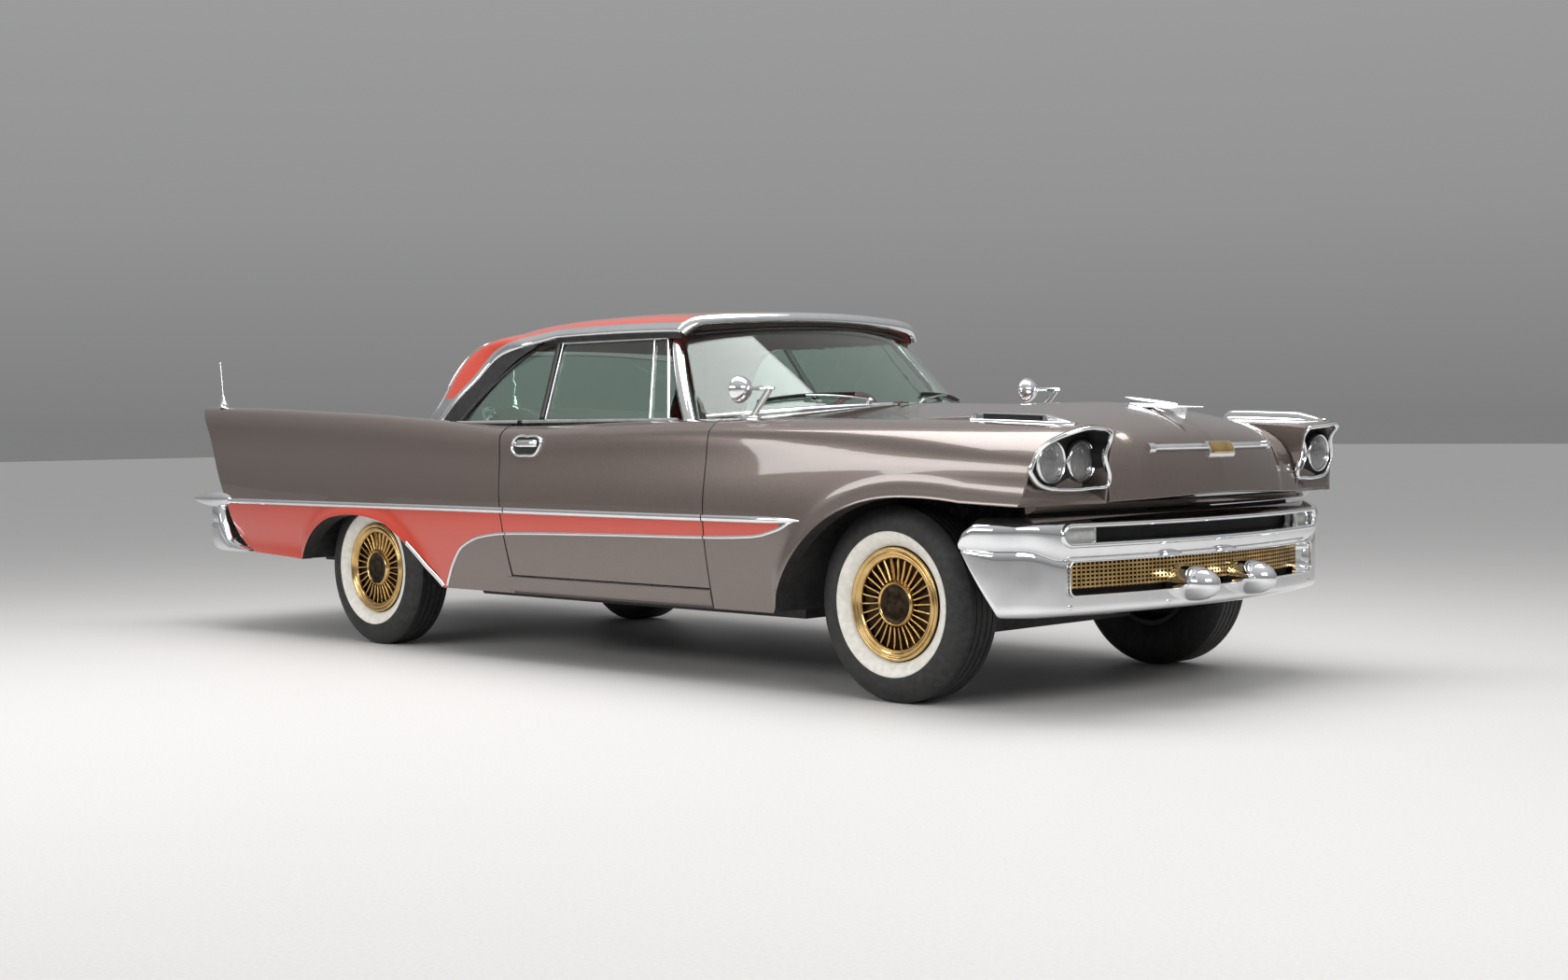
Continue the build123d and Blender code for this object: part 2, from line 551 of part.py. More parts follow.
# Floor, firewall, sills, rear seat step, trunk floor and wheel tubs in one pressing
FLOOR_Z = 330.0
TRUNK_FLOOR_Z = 520.0
FLOOR_HALF = 786.0
TUNNEL_HALF = 150.0
TUNNEL_Z = 500.0
FIREWALL_X = fx(-824)
FIREWALL_HALF = 772.0
SEAT_STEP_X = rx(660)
TRUNK_END_X = rx(-1050)
TRUNK_HALF = 600.0
TUB_Z = HUB_Z + REAR_HOUSE_R
TUB_REACH = REAR_HOUSE_R + 10
WALL = 12.0
with BuildPart() as floor_pan:
    with BuildSketch(Plane.YZ.offset(SEAT_STEP_X)):
        with Locations((0, FLOOR_Z)):
            Rectangle(2 * FLOOR_HALF, SKIN, align=(Align.CENTER, Align.MIN))
            Rectangle(2 * (TUNNEL_HALF + SKIN), TUNNEL_Z - FLOOR_Z, align=(Align.CENTER, Align.MIN))
    extrude(amount=FIREWALL_X + SKIN - SEAT_STEP_X)
    with Locations((FIREWALL_X, 0, FLOOR_Z)):
        Box(SKIN, 2 * FIREWALL_HALF, 930 - FLOOR_Z, align=(Align.MIN, Align.CENTER, Align.MIN))
    with Locations((SEAT_STEP_X, 0, FLOOR_Z)):
        Box(SKIN, 2 * FLOOR_HALF - 60, TRUNK_FLOOR_Z + SKIN - FLOOR_Z, align=(Align.MAX, Align.CENTER, Align.MIN))
    with Locations((SEAT_STEP_X - 2 * SKIN, 0, FLOOR_Z - SKIN)):
        Box(
            FIREWALL_X + 4 * SKIN - SEAT_STEP_X, 2 * TUNNEL_HALF, TUNNEL_Z - FLOOR_Z,
            align=(Align.MIN, Align.CENTER, Align.MIN), mode=Mode.SUBTRACT,
        )
    with Locations((TRUNK_END_X, 0, TRUNK_FLOOR_Z)):
        Box(SEAT_STEP_X - TRUNK_END_X, 2 * TRUNK_HALF, SKIN, align=(Align.MIN, Align.CENTER, Align.MIN))
    for side in (-1, 1):
        with Locations((REAR_AXLE_X, side * TRUNK_HALF, TRUNK_FLOOR_Z)):
            Box(2 * TUB_REACH, WALL, TUB_Z + WALL - TRUNK_FLOOR_Z, align=(Align.CENTER, Align.CENTER, Align.MIN))
        with Locations((REAR_AXLE_X, side * (TRUNK_HALF + 50), TUB_Z)):
            Box(2 * TUB_REACH, 112, WALL, align=(Align.CENTER, Align.CENTER, Align.MIN))
    with BuildSketch(Plane.XZ):
        Polygon(
            (DOOR_FRONT_X, SILL_Z), (DOOR_FRONT_X, DOOR_FOOT_Z - PANEL_GAP), (DOOR_REAR_X, DOOR_FOOT_Z - PANEL_GAP),
            (DOOR_REAR_X, SILL_Z), align=None,
        )
    rocker_block = extrude(amount=HALF_SPAN, mode=Mode.PRIVATE)
    rocker = side_blank.part & rocker_block
    add(rocker)
    add(mirror(rocker, about=Plane.XZ))
    add(fender.part, mode=Mode.SUBTRACT)
    add(mirror(fender.part, about=Plane.XZ), mode=Mode.SUBTRACT)
    add(quarter.part, mode=Mode.SUBTRACT)
    add(mirror(quarter.part, about=Plane.XZ), mode=Mode.SUBTRACT)
write(floor_pan.part, "floor_pan")

# Rear panel under the trunk lid, drilled for a number plate
PLATE_SPACING = 177.8
PLATE_HOLE_R = 3.5
PLATE_Z = 606.0
with BuildPart() as rear_panel:
    with Locations((TRUNK_END_X, 0, TRUNK_FLOOR_Z)):
        Box(SKIN, 2 * 694, 658 - TRUNK_FLOOR_Z, align=(Align.MAX, Align.CENTER, Align.MIN))
    with BuildSketch(Plane.YZ.offset(TRUNK_END_X)):
        with Locations((-PLATE_SPACING / 2, PLATE_Z), (PLATE_SPACING / 2, PLATE_Z)):
            Circle(PLATE_HOLE_R)
    extrude(amount=SKIN * 2, both=True, mode=Mode.SUBTRACT)
    add(quarter.part, mode=Mode.SUBTRACT)
    add(mirror(quarter.part, about=Plane.XZ), mode=Mode.SUBTRACT)
write(rear_panel.part, "rear_panel")

# Front bumper: a plan band cut to its side view, with an upper oval and a grille opening
BUMPER_DEPTH = 60.0
BUMPER_X = fx(800)
BUMPER_TOP_Z = 664.0
BUMPER_FOOT_Z = 332.0
FRONT_EDGE = [
    ((fx(409), -985), (fx(610), -930), (fx(690), -790)),
    ((fx(690), -790), (BUMPER_X, 0), (fx(690), 790)),
    ((fx(690), 790), (fx(610), 930), (fx(409), 985)),
]
FRONT_EDGE_IN = [
    ((fx(409), -925), (fx(560), -885), (fx(632), -765)),
    ((fx(632), -765), (BUMPER_X - BUMPER_DEPTH, 0), (fx(632), 765)),
    ((fx(632), 765), (fx(560), 885), (fx(409), 925)),
]
OVAL_Z = 606.0
OVAL_HIGH = 66.0
OVAL_WIDE = 1560.0
GRILLE_Z = 462.0
GRILLE_HIGH = 116.0
GRILLE_WIDE = 1500.0
GUARD_Y = 180.0
with BuildPart() as front_bumper:
    with BuildSketch(Plane.XY.offset(BUMPER_FOOT_Z)):
        with BuildLine():
            for a, b, c in FRONT_EDGE:
                ThreePointArc(a, b, c)
            for a, b, c in FRONT_EDGE_IN:
                ThreePointArc(a, b, c)
            Line(FRONT_EDGE[0][0], FRONT_EDGE_IN[0][0])
            Line(FRONT_EDGE[2][2], FRONT_EDGE_IN[2][2])
        make_face()
    extrude(amount=BUMPER_TOP_Z - BUMPER_FOOT_Z)
    with BuildSketch(Plane.XZ):
        Polygon(
            (fx(412), 560), (fx(412), 612), (fx(465), BUMPER_TOP_Z), (fx(960), BUMPER_TOP_Z),
            (fx(960), BUMPER_FOOT_Z), (fx(566), BUMPER_FOOT_Z), align=None,
        )
    extrude(amount=HALF_SPAN, both=True, mode=Mode.INTERSECT)
    with BuildSketch(Plane.YZ.offset(fx(400))):
        with Locations((0, OVAL_Z)):
            SlotOverall(OVAL_WIDE, OVAL_HIGH)
        with Locations((0, GRILLE_Z)):
            SlotOverall(GRILLE_WIDE, GRILLE_HIGH)
    extrude(amount=500, mode=Mode.SUBTRACT)
    for y in (-GUARD_Y, GUARD_Y):
        with BuildSketch(Plane.XY.offset(GRILLE_Z - 30)):
            with BuildLine():
                Line((fx(760), y), (fx(900), y))
                ThreePointArc((fx(900), y), (fx(878), y + 38), (fx(820), y + 58))
                Polyline((fx(820), y + 58), (fx(760), y + 58), (fx(760), y))
            make_face()
        revolve(axis=Axis((fx(760), y, GRILLE_Z - 30), (1, 0, 0)))
write(front_bumper.part, "front_bumper")

# Grille lattice behind the lower opening
GRILLE_COLUMNS = 40
GRILLE_ROWS = 5
GRILLE_BAR = 9.0
with BuildPart() as grille:
    with BuildSketch(Plane.XY.offset(GRILLE_Z - GRILLE_HIGH / 2 - 12)):
        with BuildLine():
            ThreePointArc((fx(640), -766), (fx(740) - FIT, 0), (fx(640), 766))
            Line((fx(640), 766), (fx(632), 766))
            ThreePointArc((fx(632), 766), (fx(732) - FIT, 0), (fx(632), -766))
            Line((fx(632), -766), (fx(640), -766))
        make_face()
    extrude(amount=GRILLE_HIGH + 24)
    with BuildSketch(Plane.YZ.offset(fx(400))):
        with Locations((0, GRILLE_Z)):
            with GridLocations(GRILLE_WIDE / GRILLE_COLUMNS, GRILLE_HIGH / GRILLE_ROWS, GRILLE_COLUMNS, GRILLE_ROWS):
                Rectangle(GRILLE_WIDE / GRILLE_COLUMNS - GRILLE_BAR, GRILLE_HIGH / GRILLE_ROWS - GRILLE_BAR)
    extrude(amount=500, mode=Mode.SUBTRACT)
    add(front_bumper.part, mode=Mode.SUBTRACT)
write(grille.part, "grille")

# Parking lamps fill the oval's ends
with BuildPart() as parking_lamps:
    for side in (-1, 1):
        with Locations((fx(655), side * 700, OVAL_Z)):
            Box(50, 70, OVAL_HIGH)
    add(front_bumper.part, mode=Mode.SUBTRACT)
write(parking_lamps.part, "parking_lamps")

# Headlamp bezels and lamps on the slanted nose of each fender
LAMP_SPREAD = 78.0
LAMP_R = 70.0
BEZEL_WIDE = 322.0
BEZEL_HIGH = 172.0
BEZEL_DEPTH = 26.0
with BuildPart() as bezel:
    with BuildSketch(LAMP_FACE):
        with Locations((-8, 0)):
            SlotOverall(BEZEL_WIDE, BEZEL_HIGH)
        with Locations((-8 - LAMP_SPREAD, 0), (-8 + LAMP_SPREAD, 0)):
            Circle(LAMP_R + 1, mode=Mode.SUBTRACT)
    extrude(amount=BEZEL_DEPTH)
    mirror(about=Plane.XZ)
write(bezel.part, "headlamp_bezels")

with BuildPart() as headlamps:
    with BuildSketch(LAMP_FACE):
        with Locations((-8 - LAMP_SPREAD, 0), (-8 + LAMP_SPREAD, 0)):
            Circle(LAMP_R)
    extrude(amount=14)
    mirror(about=Plane.XZ)
write(headlamps.part, "headlamps")

# Tail lamps in threes up each fin's trailing edge
TAIL_FACE = Plane(
    origin=((TAIL_TOP[0] + TAIL_FOOT[0]) / 2, 0, (TAIL_TOP[1] + TAIL_FOOT[1]) / 2),
    x_dir=(0, 1, 0),
    z_dir=(TAIL_FOOT[1] - TAIL_TOP[1], 0, TAIL_TOP[0] - TAIL_FOOT[0]),
)
# columns: y, place up the slope, radius
TAIL_LENSES = [(-838, -150, 46), (-852, -30, 46), (-868, 90, 44)]
with BuildPart() as tail_lamps:
    with BuildSketch(TAIL_FACE):
        for y, up, r in TAIL_LENSES:
            with Locations((y, up)):
                Circle(r)
    extrude(amount=24)
    mirror(about=Plane.XZ)
write(tail_lamps.part, "tail_lamps")

# Rear bumper: a plan band with its ends cut back along the quarter panels
REAR_BUMPER_X = -OVERALL_LENGTH / 2
with BuildPart() as rear_bumper:
    with BuildSketch(Plane.XY.offset(396)):
        with BuildLine():
            ThreePointArc((rx(-1330), -905), (REAR_BUMPER_X, 0), (rx(-1330), 905))
            ThreePointArc((rx(-1330), 905), (rx(-1240), 950), (rx(-880), 968))
            Line((rx(-880), 968), (rx(-880), 908))
            ThreePointArc((rx(-880), 908), (rx(-1220), 890), (rx(-1280), 862))
            ThreePointArc((rx(-1280), 862), (REAR_BUMPER_X + BUMPER_DEPTH, 0), (rx(-1280), -862))
            ThreePointArc((rx(-1280), -862), (rx(-1220), -890), (rx(-880), -908))
            Line((rx(-880), -908), (rx(-880), -968))
            ThreePointArc((rx(-880), -968), (rx(-1240), -950), (rx(-1330), -905))
        make_face()
    extrude(amount=244)
    with BuildSketch(Plane.XZ):
        Polygon(
            (rx(-900), 396), (rx(-1030), 452), (rx(-1106), 560), (rx(-1130), 640),
            (rx(-1500), 640), (rx(-1500), 396), align=None,
        )
    extrude(amount=HALF_SPAN, both=True, mode=Mode.INTERSECT)
    add(quarter.part, mode=Mode.SUBTRACT)
    add(mirror(quarter.part, about=Plane.XZ), mode=Mode.SUBTRACT)
write(rear_bumper.part, "rear_bumper")

# Frame: front rails, centre rails that kick up over the axle, and crossmembers
RAIL_IN, RAIL_OUT = 560.0, 640.0
FRONT_RAIL_IN, FRONT_RAIL_OUT = 340.0, 430.0
KICK_X = rx(620)
RAIL_DEEP = 84.0


def bumper_inner_x(middle_x, edge_x, half, y):
    """X of a bumper's inner arc at y: its middle is at middle_x, its ends at edge_x and half out."""
    rise = abs(middle_x - edge_x)
    arc_r = (half**2 + rise**2) / (2 * rise)
    sag = arc_r - (arc_r**2 - y**2) ** 0.5
    return middle_x + (sag if edge_x > middle_x else -sag)


FRONT_RAIL_X = bumper_inner_x(BUMPER_X - BUMPER_DEPTH, fx(632), 765, FRONT_RAIL_OUT) - FIT
REAR_RAIL_X = bumper_inner_x(REAR_BUMPER_X + BUMPER_DEPTH, rx(-1280), 862, RAIL_OUT) + FIT
with BuildPart() as frame:
    with BuildSketch(Plane.XZ.offset(RAIL_IN)):
        Polygon(
            (fx(-760), FLOOR_Z), (KICK_X, FLOOR_Z), (KICK_X - 160, TRUNK_FLOOR_Z), (REAR_RAIL_X, TRUNK_FLOOR_Z),
            (REAR_RAIL_X, TRUNK_FLOOR_Z - 66), (KICK_X - 200, TRUNK_FLOOR_Z - 66), (KICK_X - 70, FLOOR_Z - RAIL_DEEP),
            (fx(-760), FLOOR_Z - RAIL_DEEP), align=None,
        )
    extrude(amount=RAIL_OUT - RAIL_IN)
    with Locations((fx(-760), -FRONT_RAIL_IN, FLOOR_Z + 5)):
        Box(FRONT_RAIL_X - fx(-760), FRONT_RAIL_OUT - FRONT_RAIL_IN, 54, align=(Align.MIN, Align.MAX, Align.MIN))
    with Locations((fx(0), -FRONT_RAIL_IN, 222)):
        Box(120, FRONT_RAIL_OUT - FRONT_RAIL_IN, 268, align=(Align.CENTER, Align.MAX, Align.MIN))
    mirror(about=Plane.XZ)
    # columns: x, length, half width, foot z, height
    for x, long, half, foot_z, high in (
        (fx(-760), 120, RAIL_OUT, FLOOR_Z - RAIL_DEEP, 149), (fx(-90), 180, FRONT_RAIL_OUT, 222, 90),
        (rx(700), 90, RAIL_OUT, FLOOR_Z - RAIL_DEEP, RAIL_DEEP - 20),
        (rx(-700), 90, RAIL_OUT, TRUNK_FLOOR_Z - 66, 66), (fx(560), 90, FRONT_RAIL_OUT, FLOOR_Z + 5, 54),
    ):
        with Locations((x, 0, foot_z)):
            Box(long, 2 * half, high, align=(Align.MIN, Align.CENTER, Align.MIN))
write(frame.part, "frame")

# Wheels: profiles of radius and outward place, turned about the axle
FRONT_WHEEL_Y = FRONT_TRACK / 2
REAR_WHEEL_Y = REAR_TRACK / 2
RIM_R = 178.0
SPINDLE_R = 30.0
WHEEL_PROFILE = [
    (0, 80), (58, 80), (66, 72), (80, 58), (165, 54), (176, 72), (196, 80), (201, 76), (198, 70), (182, 60),
    (RIM_R, 55), (RIM_R, -85), (190, -88), (190, -92), (172, -92), (168, -80), (168, 30), (60, 30), (60, -20),
    (SPINDLE_R, -20), (SPINDLE_R, 45), (0, 45),
]
TYRE_PROFILE = [
    (RIM_R + FIT, 52), (185, 58), (206, 66), (240, 98), (288, 102), (328, 88), (TYRE_R, 70), (TYRE_R, -70),
    (328, -88), (288, -102), (240, -98), (206, -88), (193, -80), (RIM_R + FIT, -80),
]
# Turbine ribs over the recess of each cover
RIB_COUNT = 30
RIB_IN_R, RIB_OUT_R = 76.0, 168.0
RIB_THICK = 7.0
RIB_FOOT = 50.0
RIB_HIGH = 17.0
# columns: corner, wheel centre x, wheel centre y
CORNERS = [
    ("front_right", FRONT_AXLE_X, -FRONT_WHEEL_Y),
    ("front_left", FRONT_AXLE_X, FRONT_WHEEL_Y),
    ("rear_right", REAR_AXLE_X, -REAR_WHEEL_Y),
    ("rear_left", REAR_AXLE_X, REAR_WHEEL_Y),
]
for corner, x, y in CORNERS:
    out = 1 if y > 0 else -1
    axle = Axis((x, y, HUB_Z), (0, 1, 0))
    for kind, profile in (("wheel", WHEEL_PROFILE), ("tyre", TYRE_PROFILE)):
        with BuildPart() as turned:
            with BuildSketch(Plane(origin=(x, y, HUB_Z), x_dir=(0, 0, 1), z_dir=(1, 0, 0))):
                Polygon(*[(r, -out * a) for r, a in profile], align=None)
            revolve(axis=axle)
            if kind == "wheel":
                with BuildSketch(Plane(origin=(x, y + out * RIB_FOOT, HUB_Z), x_dir=(1, 0, 0), z_dir=(0, out, 0))):
                    with PolarLocations((RIB_IN_R + RIB_OUT_R) / 2, RIB_COUNT):
                        Rectangle(RIB_OUT_R - RIB_IN_R, RIB_THICK)
                extrude(amount=RIB_HIGH)
        write(turned.part, f"{kind}_{corner}")

# Front suspension arms with kingpins, and the steering knuckles that turn on them
KINGPIN_Y = 690.0
KINGPIN_R = 10.0
ARM_LOW_Z = 228.0
ARM_HIGH_Z = 452.0
ARM_THICK = 30.0
with BuildPart() as front_suspension:
    for foot_z, half in ((ARM_LOW_Z, 36), (ARM_HIGH_Z, 30)):
        with Locations((FRONT_AXLE_X, -FRONT_RAIL_OUT, foot_z)):
            Box(2 * half, KINGPIN_Y + 11 - FRONT_RAIL_OUT, ARM_THICK, align=(Align.CENTER, Align.MAX, Align.MIN))
    with Locations((FRONT_AXLE_X, -KINGPIN_Y, ARM_LOW_Z + ARM_THICK)):
        Cylinder(KINGPIN_R, ARM_HIGH_Z - ARM_LOW_Z - ARM_THICK, align=(Align.CENTER, Align.CENTER, Align.MIN))
    mirror(about=Plane.XZ)
write(front_suspension.part, "front_suspension")

DRUM_R = 138.0
SPINDLE_REACH = 40.0
with BuildPart() as knuckle:
    with Locations((FRONT_AXLE_X, -KINGPIN_Y + 22, HUB_Z)):
        Box(56, 64, ARM_HIGH_Z - ARM_LOW_Z - ARM_THICK - 11, align=(Align.CENTER, Align.MAX, Align.CENTER))
    with BuildSketch(Plane.XZ.offset(FRONT_WHEEL_Y - 43)):
        with Locations((FRONT_AXLE_X, HUB_Z)):
            Circle(DRUM_R)
    extrude(amount=18)
    with BuildSketch(Plane.XZ.offset(KINGPIN_Y + 30)):
        with Locations((FRONT_AXLE_X, HUB_Z)):
            Circle(SPINDLE_R - FIT)
    extrude(amount=FRONT_WHEEL_Y + SPINDLE_REACH - KINGPIN_Y - 30)
    with Locations((FRONT_AXLE_X, -KINGPIN_Y, HUB_Z)):
        Cylinder(KINGPIN_R + FIT, 400, mode=Mode.SUBTRACT)
write_pair(knuckle.part, "knuckle")

# Rear axle with its differential, on leaf springs under the rails
TUBE_R = 42.0
with BuildPart() as rear_axle:
    # columns: radius, start y, end y
    for r, start, end in (
        (TUBE_R, 0, REAR_WHEEL_Y - 40), (DRUM_R, REAR_WHEEL_Y - 58, REAR_WHEEL_Y - 26),
        (SPINDLE_R - FIT, REAR_WHEEL_Y - 60, REAR_WHEEL_Y + SPINDLE_REACH),
    ):
        with BuildSketch(Plane.XZ.offset(start)):
            with Locations((REAR_AXLE_X, HUB_Z)):
                Circle(r)
        extrude(amount=end - start)
    with Locations((REAR_AXLE_X, -(RAIL_IN + RAIL_OUT) / 2, HUB_Z - TUBE_R)):
        Box(90, 60, TUBE_R, align=(Align.CENTER, Align.CENTER, Align.MIN))
    mirror(about=Plane.XZ)
    with Locations((REAR_AXLE_X, 0, HUB_Z)):
        Sphere(130)
write(rear_axle.part, "rear_axle")

SPRING_TOP_Z = HUB_Z - TUBE_R
SPRING_THICK = 36.0
with BuildPart() as leaf_springs:
    with BuildSketch(Plane.XZ.offset(RAIL_IN + 12)):
        with BuildLine():
            Line((KICK_X - 80, SPRING_TOP_Z), (rx(-120), SPRING_TOP_Z))
            ThreePointArc((rx(-120), SPRING_TOP_Z), (rx(-420), SPRING_TOP_Z + 38), (rx(-700), TRUNK_FLOOR_Z - 66))
            Line((rx(-700), TRUNK_FLOOR_Z - 66), (rx(-740), TRUNK_FLOOR_Z - 66))
            ThreePointArc(
                (rx(-740), TRUNK_FLOOR_Z - 66), (rx(-430), SPRING_TOP_Z + 2), (rx(-120), SPRING_TOP_Z - SPRING_THICK)
            )
            Line((rx(-120), SPRING_TOP_Z - SPRING_THICK), (KICK_X - 80, SPRING_TOP_Z - SPRING_THICK))
            Line((KICK_X - 80, SPRING_TOP_Z - SPRING_THICK), (KICK_X - 80, SPRING_TOP_Z))
        make_face()
    extrude(amount=RAIL_OUT - RAIL_IN - 24)
    mirror(about=Plane.XZ)
    add(frame.part, mode=Mode.SUBTRACT)
write(leaf_springs.part, "leaf_springs")

# Engine with its gearbox as one block, on the front crossmember, and the shaft to the rear axle
GEARBOX_END_X = fx(-1500)
with BuildPart() as engine:
    with Locations((fx(-560), 0, FLOOR_Z + 66)):
        Box(840, 560, 440, align=(Align.MIN, Align.CENTER, Align.MIN))
    with Locations((fx(-60), 0, 312)):
        Box(120, 360, 90, align=(Align.MIN, Align.CENTER, Align.MIN))
    with Locations((GEARBOX_END_X, 0, HUB_Z - 40)):
        Box(fx(-540) - GEARBOX_END_X, 240, 145, align=(Align.MIN, Align.CENTER, Align.MIN))
    add(frame.part, mode=Mode.SUBTRACT)
write(engine.part, "engine")

with BuildPart() as driveshaft:
    with BuildSketch(Plane.YZ.offset(GEARBOX_END_X)):
        with Locations((0, HUB_Z + 10)):
            Circle(36)
    extrude(amount=rx(120) - GEARBOX_END_X)
    add(rear_axle.part, mode=Mode.SUBTRACT)
write(driveshaft.part, "driveshaft")

with BuildPart() as fuel_tank:
    with Locations((rx(-1010), 0, TRUNK_FLOOR_Z)):
        Box(300, 900, 190, align=(Align.MIN, Align.CENTER, Align.MAX))
write(fuel_tank.part, "fuel_tank")

# Dashboard, steering column and wheel, seats
WHEEL_Y = 372.0
COLUMN_LOW = (FIREWALL_X, 772.0)
COLUMN_HIGH = (fx(-1318), 904.0)
COLUMN_RUN = (COLUMN_HIGH[0] - COLUMN_LOW[0], COLUMN_HIGH[1] - COLUMN_LOW[1])
COLUMN_LONG = (COLUMN_RUN[0] ** 2 + COLUMN_RUN[1] ** 2) ** 0.5
COLUMN = Plane(
    origin=(COLUMN_LOW[0], WHEEL_Y, COLUMN_LOW[1]), x_dir=(0, 1, 0), z_dir=(COLUMN_RUN[0], 0, COLUMN_RUN[1])
)
COLUMN_R = 24.0
SHAFT_R = 10.0
RIM_TURN_R = 205.0
with BuildPart() as steering_column:
    with BuildSketch(COLUMN):
        Circle(COLUMN_R)
    extrude(amount=COLUMN_LONG)
    with BuildSketch(COLUMN.offset(COLUMN_LONG)):
        Circle(SHAFT_R + FIT)
    extrude(amount=-60, mode=Mode.SUBTRACT)
    add(floor_pan.part, mode=Mode.SUBTRACT)
write(steering_column.part, "steering_column")

with BuildPart() as dashboard:
    with BuildSketch(Plane.XZ.offset(-760)):
        with BuildLine():
            Polyline((fx(-1000), 800), (fx(-930), 990), (fx(-1100), 990), (fx(-1100), 940))
            ThreePointArc((fx(-1100), 940), (fx(-1126), 880), (fx(-1100), 800))
            Line((fx(-1100), 800), (fx(-1000), 800))
        make_face()
    extrude(amount=1520)
    add(steering_column.part, mode=Mode.SUBTRACT)
    add(cowl.part, mode=Mode.SUBTRACT)
write(dashboard.part, "dashboard")

with BuildPart() as steering_wheel:
    with BuildSketch(COLUMN.offset(COLUMN_LONG - 50)):
        Circle(SHAFT_R)
    extrude(amount=60)
    with BuildSketch(COLUMN.offset(COLUMN_LONG + PANEL_GAP)):
        Circle(46)
    extrude(amount=40)
    with BuildSketch(COLUMN.offset(COLUMN_LONG + PANEL_GAP + 12)):
        Rectangle(2 * RIM_TURN_R, 34)
    extrude(amount=14)
    with BuildSketch(Plane(origin=COLUMN.offset(COLUMN_LONG + PANEL_GAP + 22).origin, x_dir=(0, 1, 0), z_dir=(
        COLUMN.y_dir.X, COLUMN.y_dir.Y, COLUMN.y_dir.Z
    ))):
        with Locations((RIM_TURN_R, 0)):
            Circle(13)
    revolve(axis=Axis(COLUMN.origin, COLUMN.z_dir))
write(steering_wheel.part, "steering_wheel")

SEAT_HALF = 690.0
REAR_SEAT_HALF = 590.0
TUNNEL_WIDE = 2 * (TUNNEL_HALF + SKIN)
TUNNEL_ALIGN = (Align.MIN, Align.CENTER, Align.MIN)
with BuildPart() as front_seat:
    with BuildSketch(Plane.XZ.offset(-SEAT_HALF)):
        Polygon(
            (fx(-1480), FLOOR_Z + SKIN + 170), (fx(-1470), 590), (fx(-1920), 560), (fx(-2020), 925), (fx(-2110), 925),
            (fx(-2060), FLOOR_Z + SKIN + 170), align=None,
        )
    extrude(amount=2 * SEAT_HALF)
    with Locations((fx(-1560), 0, FLOOR_Z + SKIN)):
        Box(440, 1240, 170, align=(Align.MAX, Align.CENTER, Align.MIN))
    with Locations((SEAT_STEP_X, 0, FLOOR_Z)):
        Box(WHEELBASE, TUNNEL_WIDE, TUNNEL_Z - FLOOR_Z, align=TUNNEL_ALIGN, mode=Mode.SUBTRACT)
write(front_seat.part, "front_seat")

with BuildPart() as rear_seat:
    with BuildSketch(Plane.XZ.offset(-REAR_SEAT_HALF)):
        Polygon(
            (rx(1010), FLOOR_Z + SKIN), (rx(1020), 590), (rx(620), 560), (rx(470), 950), (rx(380), 950),
            (rx(440), TRUNK_FLOOR_Z + SKIN), (SEAT_STEP_X, TRUNK_FLOOR_Z + SKIN), (SEAT_STEP_X, FLOOR_Z + SKIN),
            align=None,
        )
    extrude(amount=2 * REAR_SEAT_HALF)
    with Locations((SEAT_STEP_X, 0, FLOOR_Z)):
        Box(WHEELBASE, TUNNEL_WIDE, TUNNEL_Z - FLOOR_Z, align=TUNNEL_ALIGN, mode=Mode.SUBTRACT)
write(rear_seat.part, "rear_seat")

# Fender mirrors and rear antennas stand on the body sides
MIRROR_Y = 862.0
MIRROR_Z = 1120.0
MIRROR_R = 54.0
with BuildPart() as mirrors:
    with BuildSketch(Plane.XZ.offset(MIRROR_Y - 9)):
        with BuildLine():
            Polyline(
                (fx(-742), 985), (fx(-668), 985), (fx(-572), MIRROR_Z + 10), (fx(-740), MIRROR_Z + 10),
                (fx(-740), MIRROR_Z - 8), (fx(-632), MIRROR_Z - 8), (fx(-742), 985),
            )
        make_face()
    extrude(amount=18)
    with BuildSketch(Plane.XZ.offset(MIRROR_Y)):
        with BuildLine():
            Line((fx(-758), MIRROR_Z), (fx(-706), MIRROR_Z))
            ThreePointArc((fx(-706), MIRROR_Z), (fx(-724), MIRROR_Z + 38), (fx(-750), MIRROR_Z + MIRROR_R))
            Polyline((fx(-750), MIRROR_Z + MIRROR_R), (fx(-758), MIRROR_Z + MIRROR_R), (fx(-758), MIRROR_Z))
        make_face()
    revolve(axis=Axis((fx(-758), -MIRROR_Y, MIRROR_Z), (1, 0, 0)))
    add(fender.part, mode=Mode.SUBTRACT)
    mirror(about=Plane.XZ)
write(mirrors.part, "mirrors")

with BuildPart() as antennas:
    with Locations((rx(-1190), -908, 1090)):
        Cylinder(13, 70, align=(Align.CENTER, Align.CENTER, Align.MIN))
        Cylinder(4, 230, align=(Align.CENTER, Align.CENTER, Align.MIN))
    add(quarter.part, mode=Mode.SUBTRACT)
    mirror(about=Plane.XZ)
write(antennas.part, "antennas")
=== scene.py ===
import math

import bmesh
import bpy
import numpy as np
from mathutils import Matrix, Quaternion, Vector


